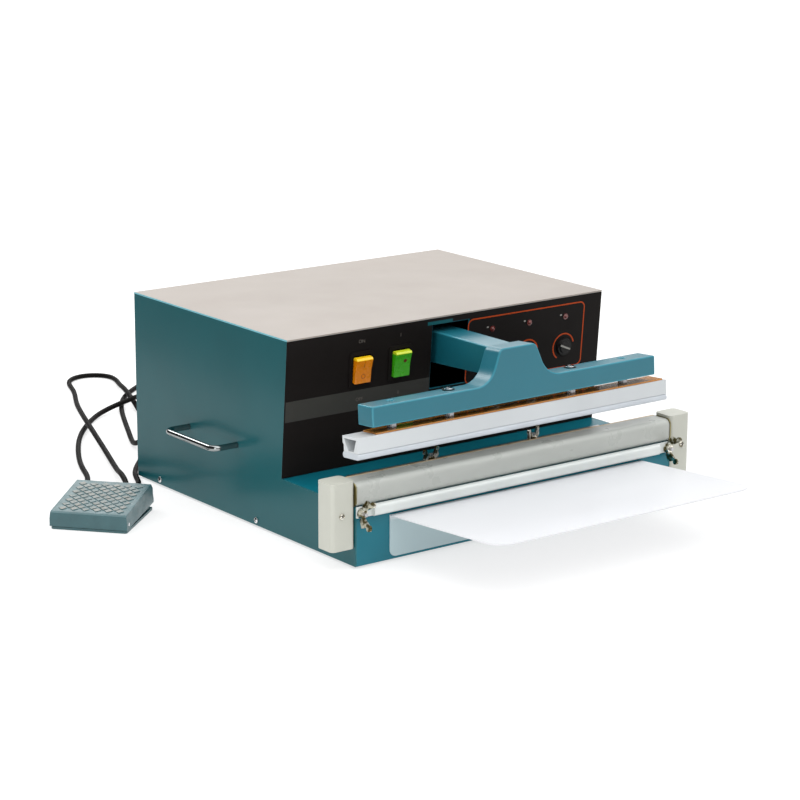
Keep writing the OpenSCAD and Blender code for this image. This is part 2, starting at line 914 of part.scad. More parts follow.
// Nuts on the handles' legs inside the side sheets.
module handle_nuts() {
  color(steel)
    for (sx = [-1, 1], y = leg_ys)
      translate([sx * (inner_x - nut_h / 2), y, handle_z])
        rotate([0, 90, 0])
          difference() {
            cylinder(d = handle_rod * 1.9, h = nut_h, center = true, $fn = 6);
            cylinder(d = handle_rod + 2 * hole_fit, h = nut_h + past, center = true);
          }
}

// Housing of a rocker switch at x, with bores for the rocker's trunnions and blades behind.
module rocker_switch(x) {
  in_w = rocker_w + 2 * rocker_play;
  in_h = rocker_h + 2 * rocker_play;
  out_w = in_w + 2 * switch_wall;
  out_h = in_h + 2 * switch_wall;
  blade = [5, 0.8, 9];
  color(black)
    on_wall()
      translate([x, rocker_v, 0])
        difference() {
          union() {
            linear_extrude(switch_flange)
              round_rect(out_w + 2 * switch_rim, out_h + 2 * switch_rim, switch_rim);
            translate([-out_w / 2, -out_h / 2, -switch_depth])
              cube([out_w, out_h, switch_depth + weld]);
            for (v = [-1, 0, 1])
              translate([0, v * out_h / 4, -switch_depth - blade[2] / 2 + weld / 2])
                cube([blade[0], blade[1], blade[2] + weld], center = true);
          }
          translate([-in_w / 2, -in_h / 2, -switch_depth / 2])
            cube([in_w, in_h, switch_depth]);
          translate([0, 0, rocker_axle])
            rod_x(rocker_pin + 2 * run_fit, in_w + 2 * (rocker_grip + move_gap));
        }
}

module power_switch() {
  rocker_switch(-power_x);
}

module mode_switch() {
  rocker_switch(-mode_x);
}

// Rocker at x with its trunnions, leaning so that its upper end stands out.
module rocker(x, tint) {
  half = rocker_h / 2;
  color(tint)
    on_wall()
      translate([x, rocker_v, rocker_axle])
        rotate([rocker_lean, 0, 0])
          translate([0, 0, -rocker_axle]) {
            slab_x(-rocker_w / 2, rocker_w)
              polygon([
                [-half, rocker_front], [0, rocker_front - rocker_dish], [half - 2, rocker_front],
                [half, rocker_front - 2], [half, 0], [half - 7, rocker_foot],
                [7 - half, rocker_foot], [-half, 0]
              ]);
            translate([0, 0, rocker_axle])
              rod_x(rocker_pin, rocker_w + 2 * (rocker_play + rocker_grip));
          }
}

module power_rocker() {
  rocker(-power_x, [0.95, 0.60, 0.10]);
}

module mode_rocker() {
  rocker(-mode_x, [0.35, 0.78, 0.15]);
}

// Knob at x with its spindle; the ridge on its cap points up to the left.
module knob(x) {
  ridge_w = 4;
  color(black)
    on_wall()
      translate([x, knob_v, 0]) {
        translate([0, 0, knob_gap])
          cylinder(d1 = knob_dia, d2 = knob_dia - 2, h = knob_skirt);
        translate([0, 0, knob_gap + knob_skirt - weld])
          cylinder(d1 = knob_cap, d2 = knob_cap - 2, h = knob_h - knob_gap - knob_skirt - 1 + weld);
        rotate([0, 0, knob_turn])
          translate([-knob_cap / 2, -ridge_w / 2, knob_gap + knob_skirt - weld])
            cube([knob_cap + 2, ridge_w, knob_h - knob_gap - knob_skirt + weld]);
        translate([0, 0, -skin - spindle_in])
          cylinder(d = spindle_dia, h = skin + spindle_in + knob_gap + weld);
      }
}

module heat_knob() {
  knob(knob_xs[0]);
}

module cool_knob() {
  knob(knob_xs[1]);
}

module delay_knob() {
  knob(knob_xs[2]);
}

// Potentiometers behind the wall, their bushes through it.
module timer_pots() {
  color(steel)
    on_wall()
      for (x = knob_xs)
        translate([x, knob_v, 0])
          difference() {
            union() {
              translate([0, 0, -skin - pot_depth])
                cylinder(d = pot_dia, h = pot_depth);
              translate([0, 0, -skin - weld])
                cylinder(d = bush_dia, h = skin + weld);
            }
            translate([0, 0, -skin - spindle_in - move_gap])
              cylinder(d = spindle_dia + 2 * run_fit, h = skin + spindle_in + past);
          }
}

// Lamps with a rim on the panel and a domed lens.
module lamp_lenses() {
  color([0.75, 0.12, 0.08])
    on_wall()
      for (x = knob_xs)
        translate([x, lamp_v, 0]) {
          translate([0, 0, -lamp_depth])
            cylinder(d = lamp_dia, h = lamp_depth + weld);
          cylinder(d = lamp_rim, h = lamp_rim_h);
          translate([0, 0, lamp_rim_h / 2])
            sphere(d = lamp_dia);
        }
}

// Lower jaw bar on the ledge, with a groove for insulator and heater.
module lower_jaw() {
  color([0.72, 0.73, 0.74])
    slab_x(-jaw_l / 2, jaw_l)
      translate([front_y, ledge_z])
        difference() {
          round_front(jaw_d, jaw_h, jaw_round);
          translate([seal_y - front_y - insulator_w / 2, jaw_h - groove_h])
            square([insulator_w, groove_h + past]);
        }
}

module jaw_insulator() {
  color([0.85, 0.82, 0.70])
    translate([-jaw_l / 2, seal_y - insulator_w / 2, jaw_top - groove_h])
      cube([jaw_l, insulator_w, insulator_t]);
}

module heater_strip() {
  color(steel)
    translate([-jaw_l / 2 + heater_short / 2, seal_y - heater_w / 2, jaw_top - heater_t])
      cube([jaw_l - heater_short, heater_w, heater_t]);
}

// Thin cover drawn over the lower jaw, tucked under its front and hanging down behind it.
module ptfe_cover() {
  g = cover_gap;
  o = cover_gap + cover_t;
  color([0.80, 0.80, 0.77])
    slab_x(-jaw_l / 2, jaw_l)
      translate([front_y, ledge_z])
        difference() {
          translate([-o, -o])
            round_front(jaw_d + 2 * o, jaw_h + 2 * o, jaw_round + o);
          translate([-g, -g])
            round_front(jaw_d + 2 * g, jaw_h + 2 * g, jaw_round + g);
          translate([-past, -past])
            square([jaw_d + 2 * past, past + cover_lift]);
          translate([jaw_d / 2, -past])
            square([jaw_d, jaw_h - cover_tail + past]);
        }
}

// Bar that clamps along the base's front, with a round front and a flat tab at each end.
module clamp_bar() {
  color(ivory)
    difference() {
      slab_x(-bar_l / 2, bar_l)
        translate([front_y - bar_d, bar_z])
          round_front(bar_d, bar_h, bar_round);
      for (s = [0, 1])
        mirror([s, 0, 0]) {
          translate([bar_full / 2, front_y - bar_d - past, bar_z - past])
            cube([bar_l, bar_d - tab_t + past, bar_h + 2 * past]);
          translate([stud_x, 0, stud_z])
            rod_y(stud_dia + 2 * hole_fit, front_y - tab_t - past, front_y + past);
        }
    }
}

// Studs of the front clamp bar and of the rear clamp strip.
module clamp_studs() {
  front_end = front_y - tab_t - move_gap - wing_hub_h - stud_out;
  inside_y = front_y + sheet_t;
  rear_top = ledge_z + strip_h + move_gap + wing_hub_h + stud_out;
  rear_low = ledge_z - sheet_t - strip_stud_under;
  color(steel)
    for (sx = [-1, 1]) {
      translate([sx * stud_x, 0, stud_z])
        rod_y(stud_dia, front_end, inside_y + strip_stud_under);
      translate([sx * stud_x, inside_y, stud_z])
        rotate([-90, 0, 0])
          cylinder(d = 2 * stud_dia, h = strip_stud_under, $fn = 6);
      translate([sx * strip_pitch / 2, strip_y, rear_low])
        cylinder(d = stud_dia, h = rear_top - rear_low);
      translate([sx * strip_pitch / 2, strip_y, rear_low])
        cylinder(d = 2 * stud_dia, h = strip_stud_under, $fn = 6);
    }
}

// Wing nut with its seat at z = 0 and its two wings in the X-Z plane.
module wing_nut(reach, rise) {
  tip_r = 2.2 + 0.12 * rise;
  color([0.70, 0.66, 0.56])
    difference() {
      union() {
        cylinder(d1 = wing_hub, d2 = wing_hub - 3, h = wing_hub_h);
        for (s = [0, 1])
          mirror([s, 0, 0])
            translate([0, wing_t / 2, 0])
              rotate([90, 0, 0])
                linear_extrude(wing_t) {
                  polygon([
                    [stud_dia / 2 + 1, 1], [wing_root, 1], [reach, wing_hub_h],
                    [reach - 5, wing_hub_h + rise], [stud_dia / 2 + 1, wing_hub_h - 1]
                  ]);
                  translate([reach - 3, wing_hub_h + rise - 2])
                    circle(r = tip_r);
                }
      }
      translate([0, 0, -past])
        cylinder(d = stud_dia + 2 * run_fit, h = wing_hub_h + 2 * past);
    }
}

// Front wing nut on the side given by s, its wings near upright.
module front_wing(s, turn) {
  translate([s * stud_x, front_y - tab_t - move_gap, stud_z])
    rotate([90, 0, 0])
      rotate([0, 0, 90 - turn])
        wing_nut(wing_reach, wing_rise);
}

module wing_nut_left() {
  front_wing(-1, wing_turns[0]);
}

module wing_nut_right() {
  front_wing(1, wing_turns[1]);
}

// Rear wing nut on the side given by s.
module rear_wing(s, turn) {
  translate([s * strip_pitch / 2, strip_y, ledge_z + strip_h + move_gap])
    rotate([0, 0, turn])
      wing_nut(rear_wing_reach, rear_wing_rise);
}

module rear_wing_left() {
  rear_wing(-1, rear_wing_turns[0]);
}

module rear_wing_right() {
  rear_wing(1, rear_wing_turns[1]);
}

// End block on the side given by s, with a bore for its screw.
module end_block(s) {
  color(ivory)
    difference() {
      translate([s * (side_x + block_w / 2), front_y + block_d / 2, block_z])
        linear_extrude(block_h)
          round_rect(block_w, block_d, block_round);
      translate([s * block_screw_x, 0, stud_z])
        rod_y(block_screw_dia + 2 * hole_fit, front_y - past, front_y + block_screw_in);
    }
}

module end_block_left() {
  end_block(-1);
}

module end_block_right() {
  end_block(1);
}

// Screws in the fronts of the end blocks and through the tray's flange.
module front_screws() {
  color(chrome)
    for (sx = [-1, 1]) {
      translate([sx * block_screw_x, front_y, stud_z])
        rotate([90, 0, 0])
          dome_screw(block_screw_dia, screw_head - 1, screw_dome, block_screw_in);
      translate([sx * tray_pitch / 2, front_y - tray_t, tray_screw_z])
        rotate([90, 0, 0])
          dome_screw(screw_dia, screw_head, screw_dome, tray_t + sheet_t + 4);
    }
}

// What is cut from a plate's corner at the origin, which points to +X and +Y, to round it.
module corner_cut(r) {
  difference() {
    translate([-r, -r])
      square(r + past);
    translate([-r, -r])
      circle(r);
  }
}

// Tray sheet: a flange on the base's front and a plate that tilts up to the front.
module work_tray() {
  c = cos(tray_tilt);
  t = sin(tray_tilt);
  low_z = tray_z - tray_flange;
  face_y = front_y - tray_t;
  end_y = front_y - tray_reach * c;
  end_z = tray_z + tray_reach * t;
  fold_z = tray_z - tray_t * c + tray_t * (1 - t) / c * t;
  color(white)
    difference() {
      slab_x(-tray_w / 2, tray_w)
        polygon([
          [front_y, low_z], [front_y, tray_z], [end_y, end_z], [end_y - tray_t * t, end_z - tray_t * c],
          [face_y, fold_z], [face_y, low_z]
        ]);
      for (s = [0, 1])
        mirror([s, 0, 0]) {
          translate([tray_w / 2, end_y - tray_t * t, tray_z - tray_t - past])
            linear_extrude(tray_reach)
              mirror([0, 1])
                corner_cut(tray_corner);
          translate([tray_w / 2, 0, low_z])
            slab_y(face_y - past, tray_t + 2 * past)
              mirror([0, 1])
                corner_cut(flange_round);
          translate([tray_pitch / 2, 0, tray_screw_z])
            rod_y(screw_dia + 2 * hole_fit, face_y - past, front_y + past);
        }
    }
}

// Strip behind the lower jaw that holds the cover's rear edge.
module rear_clamp() {
  color(steel)
    difference() {
      translate([-strip_l / 2, strip_y - strip_d / 2, ledge_z])
        cube([strip_l, strip_d, strip_h]);
      for (sx = [-1, 1])
        translate([sx * strip_pitch / 2, strip_y, ledge_z - past])
          cylinder(d = stud_dia + 2 * hole_fit, h = strip_h + 2 * past);
    }
}

// Outline of the hump above the beam's top, with round upper corners and fillets at its foot.
module hump_outline() {
  run = hump_foot - hump_top;
  side = norm([run, hump_h]);
  out = [hump_h, run] / side;
  cup_x = hump_foot + hump_fillet * (side - run) / hump_h;
  cup = [cup_x, hump_fillet] - hump_fillet * out;
  cap_x = hump_foot - (hump_round * side + (hump_h - hump_round) * run) / hump_h;
  cap = [cap_x, hump_h - hump_round] + hump_round * out;
  difference() {
    union() {
      polygon([
        [-cup.x, cup.y], [-cap.x, cap.y], [-cap_x, hump_h],
        [cap_x, hump_h], [cap.x, cap.y], [cup.x, cup.y]
      ]);
      for (s = [-1, 1])
        translate([s * cap_x, hump_h - hump_round])
          circle(hump_round);
      translate([-cup_x, -weld])
        square([2 * cup_x, cup.y + weld]);
    }
    for (s = [-1, 1])
      translate([s * cup_x, hump_fillet])
        circle(hump_fillet);
  }
}

// Arm with hub, cross beam with hump, the pull lug and the return spring's pad.
module press_arm() {
  color(teal)
    difference() {
      union() {
        slab_x(-arm_w / 2, arm_w)
          polygon([
            [arm_front, arm_top], [magnet_y, arm_top], [pivot_y, pivot_z + hub_r],
            [pivot_y, pivot_z - hub_r], [spring_place + spring_dia, spring_top],
            [spring_place - spring_dia, spring_top], [magnet_y, arm_top - arm_h - 8],
            [wall_y, arm_wall_low], [arm_front, arm_top - arm_h]
          ]);
        translate([0, pivot_y, pivot_z])
          rod_x(hub_dia, arm_w);
        opened() {
          translate([-beam_w / 2, beam_front, beam_z])
            cube([beam_w, beam_d, beam_h]);
          translate([0, 0, beam_z + beam_h])
            slab_y(beam_front, beam_d)
              hump_outline();
        }
        slab_x(-lug_t / 2, lug_t) {
          translate([magnet_y, pull_z])
            circle(lug_r);
          translate([magnet_y - lug_r, pull_z])
            square([2 * lug_r, arm_top - arm_h / 2 - pull_z]);
        }
      }
      translate([0, pivot_y, pivot_z])
        rod_x(bush_dia_out + 2 * run_fit, arm_w + past);
      for (dy = [-lug_slot, lug_slot])
        translate([0, magnet_y + dy, pull_z])
          rod_x(pull_pin + 2 * lug_play, lug_t + past);
      translate([0, magnet_y, pull_z])
        cube([lug_t + past, 2 * lug_slot, pull_pin + 2 * lug_play], center = true);
      opened()
        for (x = [-level_x, -bolt_x, bolt_x, level_x])
          translate([x, jaw_mid, beam_z - past])
            cylinder(d = bolt_dia + 2 * hole_fit, h = beam_h + 2 * past);
    }
}

// Flanged bushes in the arm's hub.
module arm_bushes() {
  color([0.72, 0.55, 0.28])
    translate([0, pivot_y, pivot_z])
      for (s = [-1, 1])
        rotate([0, s * 90, 0])
          difference() {
            union() {
              translate([0, 0, 1])
                cylinder(d = bush_dia_out, h = arm_w / 2 - 1);
              translate([0, 0, arm_w / 2])
                cylinder(d = bush_dia_out + 6, h = bush_flange);
            }
            cylinder(d = shaft_dia + 2 * run_fit, h = arm_w);
          }
}

// Shaft through both brackets, with a head on the left and a set collar on the right.
module pivot_shaft() {
  out = bracket_x + bracket_t;
  color(steel)
    translate([0, pivot_y, pivot_z])
      rotate([0, 90, 0]) {
        translate([0, 0, -out])
          cylinder(d = shaft_dia, h = 2 * out + collar_l + 1);
        translate([0, 0, -out - shaft_head])
          cylinder(d = shaft_dia + 8, h = shaft_head);
        difference() {
          translate([0, 0, out])
            cylinder(d = shaft_dia + 12, h = collar_l);
          cylinder(d = shaft_dia + 2 * hole_fit, h = out + collar_l + past);
        }
      }
}

// Two upright brackets on the pan that carry the shaft.
module pivot_brackets() {
  color(steel)
    for (s = [-1, 1])
      difference() {
        union() {
          translate([s * (bracket_x + bracket_t / 2), pivot_y, 0])
            translate([-bracket_t / 2, -bracket_w / 2, floor_z])
              cube([bracket_t, bracket_w, pivot_z + bracket_head - floor_z]);
          translate([s * (bracket_x + bracket_foot / 2), pivot_y, floor_z + bracket_t / 2])
            cube([bracket_foot, bracket_w, bracket_t], center = true);
        }
        translate([0, pivot_y, pivot_z])
          rod_x(shaft_dia + 2 * run_fit, 4 * (bracket_x + bracket_t));
      }
}

// Hollow upper jaw, open at its ends.
module upper_jaw() {
  half = upper_d / 2;
  color(white)
    opened()
      difference() {
        slab_x(-upper_l / 2, upper_l)
          translate([jaw_mid, upper_z])
            difference() {
              polygon([
                [-half, 0], [-half, upper_h], [half, upper_h], [half, upper_h * 0.55],
                [half - step_in, upper_h * 0.45], [half - step_in, 0]
              ]);
              polygon([
                [upper_wall + channel_taper - half, channel_floor],
                [upper_wall - half, upper_h - upper_wall],
                [half - upper_wall, upper_h - upper_wall],
                [half - upper_wall - step_in - channel_taper, channel_floor]
              ]);
            }
        for (x = [-level_x, -bolt_x, bolt_x, level_x])
          translate([x, jaw_mid, amber_z - upper_wall - past])
            cylinder(d = bolt_dia + 2 * hole_fit, h = upper_wall + 2 * past);
      }
}

// Lip under the upper jaw, with round front and rear edges.
module jaw_lip() {
  color(white)
    opened()
      slab_x(-lip_l / 2, lip_l)
        translate([jaw_mid, lip_z + lip_h / 2])
          round_rect(lip_d, lip_h, lip_h / 2 - 0.5);
}

// Amber insulation between the upper jaw and its spacers.
module insulation_strip() {
  color(amber)
    opened()
      difference() {
        translate([amber_left - upper_l / 2, jaw_mid - upper_d / 2 + step_in, amber_z])
          cube([upper_l - amber_left - amber_right, upper_d - 2 * step_in, amber_t]);
        for (x = [-level_x, -bolt_x, bolt_x, level_x])
          translate([x, jaw_mid, amber_z - past])
            cylinder(d = bolt_dia + 2 * hole_fit, h = amber_t + 2 * past);
      }
}

// Bolts from the beam's top into the upper jaw, and headless levelling screws.
module jaw_bolts() {
  low = amber_z - bolt_in;
  color(chrome)
    opened() {
      for (x = [-bolt_x, bolt_x])
        translate([x, jaw_mid, 0]) {
          translate([0, 0, low])
            cylinder(d = bolt_dia, h = beam_z + beam_h - low);
          translate([0, 0, beam_z + beam_h])
            difference() {
              cylinder(d = bolt_head, h = bolt_head_h);
              translate([0, 0, bolt_head_h - bolt_socket_in])
                cylinder(d = bolt_socket, h = bolt_socket_in + past, $fn = 6);
            }
        }
      for (x = [-level_x, level_x])
        translate([x, jaw_mid, low])
          cylinder(d = bolt_dia, h = beam_z + beam_h - 2 - low);
    }
}

// Spacers on the bolts between the beam and the insulation strip.
module jaw_spacers() {
  color(chrome)
    opened()
      for (x = [-level_x, -bolt_x, bolt_x, level_x])
        translate([x, jaw_mid, amber_z + amber_t])
          difference() {
            cylinder(d = bolt_head, h = spacer_h, $fn = 6);
            translate([0, 0, -past])
              cylinder(d = bolt_dia + 2 * hole_fit, h = spacer_h + 2 * past);
          }
}

// Steel frame round the coil, with the plunger's hole in its top.
module solenoid_frame() {
  depth = coil_dia - 6;
  color(steel)
    difference() {
      translate([-magnet_w / 2, magnet_y - depth / 2, floor_z])
        cube([magnet_w, depth, coil_h + 2 * magnet_t]);
      translate([magnet_t - magnet_w / 2, magnet_y - depth / 2 - past, floor_z + magnet_t])
        cube([magnet_w - 2 * magnet_t, depth + 2 * past, coil_h]);
      translate([0, magnet_y, magnet_top - past])
        cylinder(d = coil_bore, h = magnet_t + 2 * past);
    }
}

// Wound coil between two bobbin flanges.
module solenoid_coil() {
  rim = 3;
  color(copper)
    translate([0, magnet_y, floor_z + magnet_t])
      difference() {
        union() {
          cylinder(d = coil_dia, h = rim);
          cylinder(d = coil_dia - 8, h = coil_h);
          translate([0, 0, coil_h - rim])
            cylinder(d = coil_dia, h = rim);
        }
        translate([0, 0, -past])
          cylinder(d = coil_bore, h = coil_h + 2 * past);
      }
}

// Plunger with a fork and pull pin at its top.
module solenoid_plunger() {
  fork_in = lug_t / 2 + 1;
  fork_low = pull_z - lug_r - 3;
  color(chrome)
    translate([0, magnet_y, 0]) {
      translate([0, 0, plunger_low])
        cylinder(d = plunger_dia, h = fork_low - plunger_low);
      translate([-fork_in - fork_t, -plunger_dia / 2, fork_low - fork_t])
        cube([2 * (fork_in + fork_t), plunger_dia, fork_t]);
      for (x = [-fork_in - fork_t, fork_in])
        translate([x, -plunger_dia / 2, fork_low - weld])
          cube([fork_t, plunger_dia, pull_z + pull_pin / 2 + 2 - fork_low + weld]);
      translate([0, 0, pull_z])
        rod_x(pull_pin, 2 * (fork_in + fork_t));
    }
}

// Coil spring that lifts the arm.
module return_spring() {
  color(steel)
    translate([0, spring_place, 0])
      coil_spring(spring_dia, spring_wire, spring_low, spring_top, spring_turns);
}

// Laminated core with two windows.
module transformer_core() {
  window_h = core_h - 2 * leg_w;
  color([0.30, 0.30, 0.32])
    difference() {
      translate([core_x - core_w / 2, core_y - core_d / 2, floor_z])
        cube([core_w, core_d, core_h]);
      for (s = [-1, 1])
        translate([core_x + s * leg_w, core_y, floor_z + core_h / 2])
          cube([leg_w, core_d + past, window_h], center = true);
    }
}

// Winding round the core's middle leg.
module transformer_coil() {
  window_h = core_h - 2 * leg_w;
  fit = 0.5;
  color(copper)
    translate([core_x, core_y, floor_z + core_h / 2])
      difference() {
        cube([3 * leg_w - 2 * fit, core_d + 2 * coil_over, window_h], center = true);
        cube([leg_w + 2 * hole_fit, core_d + 2 * hole_fit, window_h + past], center = true);
      }
}

// Timer board on its bosses, with relay, capacitors and terminals.
module timer_board() {
  z = floor_z + boss_h;
  color([0.15, 0.40, 0.22])
    translate([board_x, board_y, z]) {
      translate([-board_w / 2, -board_d / 2, 0])
        cube([board_w, board_d, board_t]);
      translate([-board_w / 3, board_d / 10, board_t - weld])
        cube([relay_w, relay_d, relay_h + weld]);
      translate([-terminal_w / 2, -board_d / 3, board_t - weld])
        cube([terminal_w, terminal_d, terminal_h + weld]);
      for (i = [0:2])
        translate([board_w / 12 + i * capacitor_pitch, board_d / 4, board_t - weld])
          cylinder(d = capacitor_dia, h = capacitor_h + weld);
    }
}

// Mains inlet with a recess and three blades.
module power_inlet() {
  color(black)
    translate([inlet_x, 0, inlet_z])
      difference() {
        union() {
          slab_y(rear_y, 3)
            round_rect(inlet_flange, inlet_h + 5, 4);
          slab_y(rear_y - inlet_depth, inlet_depth + weld)
            square([inlet_w, inlet_h], center = true);
        }
        difference() {
          slab_y(rear_y - inlet_depth + inlet_wall, inlet_depth + 3)
            round_rect(inlet_w - 2 * inlet_wall, inlet_h - 2 * inlet_wall, 3);
          for (p = inlet_pins)
            translate([p[0], rear_y - inlet_depth / 2, p[1]])
              cube([2, inlet_depth + weld, 4], center = true);
        }
      }
}

// Gland with its nut against a wall at y = 0 and a taper that ends at the cord, along +Y.
module gland() {
  rotate([-90, 0, 0]) {
    cylinder(d = gland_nut, h = gland_nut_h, $fn = 6);
    translate([0, 0, gland_nut_h - weld])
      cylinder(d1 = gland_root, d2 = gland_tip, h = gland_taper + weld);
  }
}

// Glands in the housing's rear and in the pedal's back post.
module cord_glands() {
  color(black) {
    translate([gland_x, rear_y, gland_z]) {
      gland();
      rod_y(gland_root, -sheet_t - 4, 1);
    }
    at_pedal()
      translate([0, pedal_post_y + pedal_post_t, pedal_gland_z])
        gland();
  }
}

// Pedal's base plate with hinge ears and the gland's post.
module pedal_base() {
  w = pedal_w - 2 * pedal_inset;
  d = pedal_d - 2 * pedal_inset;
  color(pedal_blue)
    at_pedal()
      difference() {
        union() {
          linear_extrude(pedal_plate)
            round_rect(w, d, 4);
          for (s = [-1, 1])
            slab_x(s * ear_x - ear_t / 2, ear_t) {
              translate([pedal_axis_y, pedal_axis_z])
                circle(ear_r);
              translate([pedal_axis_y - ear_r, pedal_plate - weld])
                square([2 * ear_r, pedal_axis_z - pedal_plate + weld]);
            }
          translate([-pedal_gland_w / 2, pedal_post_y, pedal_plate - weld])
            cube([pedal_gland_w, pedal_post_t, pedal_gland_z + gland_nut / 2 - pedal_plate + weld]);
        }
        translate([0, pedal_axis_y, pedal_axis_z])
          rod_x(pedal_pin_dia + 2 * run_fit, pedal_w);
      }
}

// Outer form of the pedal's cover, drawn in by g on every side but the underside.
module pedal_form(g) {
  low = pedal_plate + pedal_lift;
  rise = pedal_d * tan(pedal_deg);
  half_w = pedal_w / 2 - g;
  half_d = pedal_d / 2 - g;
  intersection() {
    slab_x(-pedal_w, 2 * pedal_w)
      polygon([
        [-half_d, low - g], [half_d, low + rise - g], [half_d, pedal_back - 7 - g],
        [half_d - 7, pedal_back - g], [3 - half_d, pedal_front - g], [-half_d, pedal_front - 2 - g]
      ]);
    slab_y(-pedal_d, 2 * pedal_d)
      polygon([
        [-half_w, 0], [half_w, 0], [half_w, pedal_skirt], [half_w - pedal_taper, pedal_shoulder],
        [half_w - pedal_taper, pedal_back + past], [pedal_taper - half_w, pedal_back + past],
        [pedal_taper - half_w, pedal_shoulder], [-half_w, pedal_skirt]
      ]);
  }
}

// Hinged pedal cover with a diamond tread, open underneath.
module pedal_cover() {
  slope = atan((pedal_back - pedal_front) / (pedal_d - 10));
  step_x = (pedal_w - 2 * pedal_taper - 10) / tread_cols;
  step_y = (pedal_d - 18) / tread_rows;
  color(pedal_blue)
    at_pedal()
      difference() {
        union() {
          difference() {
            pedal_form(0);
            pedal_form(pedal_wall);
          }
          translate([0, 3 - pedal_d / 2, pedal_front])
            rotate([slope, 0, 0])
              for (i = [0:2 * tread_cols - 2], j = [0:2 * tread_rows - 2])
                if ((i + j) % 2 == 0)
                  translate([(i + 1 - tread_cols) / 2 * step_x, (j / 2 + 0.75) * step_y, 0])
                    rotate([0, 0, 45])
                      cube([tread_size, tread_size, 2 * tread_h], center = true);
          for (s = [-1, 1])
            translate([s * (ear_x + ear_t / 2 + 0.5 + (pedal_w / 2 - pedal_wall - ear_x - ear_t / 2) / 2), pedal_axis_y, pedal_axis_z])
              rod_x(pedal_pin_dia + 5, pedal_w / 2 - pedal_wall - ear_x - ear_t / 2);
        }
        translate([0, pedal_axis_y, pedal_axis_z])
          rod_x(pedal_pin_dia + 2 * run_fit, pedal_w + past);
        translate([-pedal_gland_w / 2 - 2, pedal_d / 2 - 10, 0])
          cube([pedal_gland_w + 4, 20, pedal_gland_z + gland_nut / 2 + pedal_d * tan(pedal_deg)]);
      }
}

// Hinge pin through the pedal's cover and the base's ears.
module pedal_pin() {
  color(chrome)
    at_pedal()
      translate([0, pedal_axis_y, pedal_axis_z])
        rod_x(pedal_pin_dia, pedal_w);
}

// Switch on the pedal's plate with its plunger under the cover.
module pedal_switch() {
  color(black)
    at_pedal()
      translate([-switch_box[0] / 2, -switch_box[1] / 2, pedal_plate]) {
        cube(switch_box);
        translate([switch_box[0] / 2, switch_box[1] / 2, switch_box[2] - weld])
          cylinder(d = 6, h = 6 + weld);
      }
}

// Two coil springs that lift the pedal's cover.
module pedal_springs() {
  slope = (pedal_back - pedal_front) / (pedal_d - 10 - 2 * pedal_wall);
  start_y = 3 - pedal_d / 2 + pedal_wall;
  roof = pedal_front - pedal_wall + (pedal_spring_y - pedal_spring_dia / 2 - start_y) * slope;
  color(steel)
    at_pedal()
      for (s = [-1, 1])
        translate([s * pedal_spring_x, pedal_spring_y, 0])
          coil_spring(pedal_spring_dia, pedal_spring_wire, pedal_plate, roof, pedal_spring_turns);
}

// Foot cord along its route, from the tip of the housing's gland to the tip of the pedal's.
module foot_cord() {
  out = gland_nut_h + gland_taper;
  back = [sin(-pedal_turn), cos(pedal_turn), 0];
  pedal_end = pedal_place + (pedal_post_y + pedal_post_t + out) * back + [0, 0, pedal_gland_z];
  start = [gland_x, rear_y + out, gland_z];
  route = concat([start, start + [0, 32, 0]], cord_route, [pedal_end + 30 * back, pedal_end]);
  color(black)
    tube(spline(route, cord_steps), cord_dia, cord_sides, [0, 1, 0], -back);
}

base_pan();
front_casing();
control_panel();
side_panel_left();
side_panel_right();
rear_panel();
top_cover();
rubber_feet();
case_screws();
handle_left();
handle_right();
handle_nuts();
power_switch();
mode_switch();
power_rocker();
mode_rocker();
heat_knob();
cool_knob();
delay_knob();
timer_pots();
lamp_lenses();
lower_jaw();
jaw_insulator();
heater_strip();
ptfe_cover();
clamp_bar();
clamp_studs();
wing_nut_left();
wing_nut_right();
end_block_left();
end_block_right();
front_screws();
work_tray();
rear_clamp();
rear_wing_left();
rear_wing_right();
press_arm();
arm_bushes();
pivot_shaft();
pivot_brackets();
upper_jaw();
jaw_lip();
insulation_strip();
jaw_bolts();
jaw_spacers();
solenoid_frame();
solenoid_coil();
solenoid_plunger();
return_spring();
transformer_core();
transformer_coil();
timer_board();
power_inlet();
cord_glands();
pedal_base();
pedal_cover();
pedal_pin();
pedal_switch();
pedal_springs();
foot_cord();
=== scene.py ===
"""Looks of a tabletop impulse sealer with a foot pedal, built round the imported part.

Lengths are in metres in the part's own frame: origin on the table under the middle of the housing,
X to the operator's right, Y to the rear, Z up.
"""

import math

import bmesh
import bpy
from mathutils import Matrix, Vector


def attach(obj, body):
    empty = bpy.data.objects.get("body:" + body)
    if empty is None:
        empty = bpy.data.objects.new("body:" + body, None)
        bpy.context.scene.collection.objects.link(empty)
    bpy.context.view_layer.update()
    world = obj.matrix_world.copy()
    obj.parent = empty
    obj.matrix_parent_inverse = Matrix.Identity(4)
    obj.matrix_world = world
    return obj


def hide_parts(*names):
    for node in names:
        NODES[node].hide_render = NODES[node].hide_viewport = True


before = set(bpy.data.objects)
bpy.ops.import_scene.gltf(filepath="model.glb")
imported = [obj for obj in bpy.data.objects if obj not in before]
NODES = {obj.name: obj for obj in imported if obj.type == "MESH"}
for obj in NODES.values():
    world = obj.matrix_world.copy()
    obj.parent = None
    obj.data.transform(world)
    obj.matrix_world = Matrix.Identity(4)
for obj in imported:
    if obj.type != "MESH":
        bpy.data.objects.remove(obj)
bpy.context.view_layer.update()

# Sizes of the part that the pieces here are set against
MM = 0.001
SIDE_X = 260 * MM
FRONT_Y = -253 * MM
REAR_Y = 253 * MM
WALL_Y = -96 * MM
LEDGE_Z = 78 * MM
LEAN = math.atan(14 / 180)
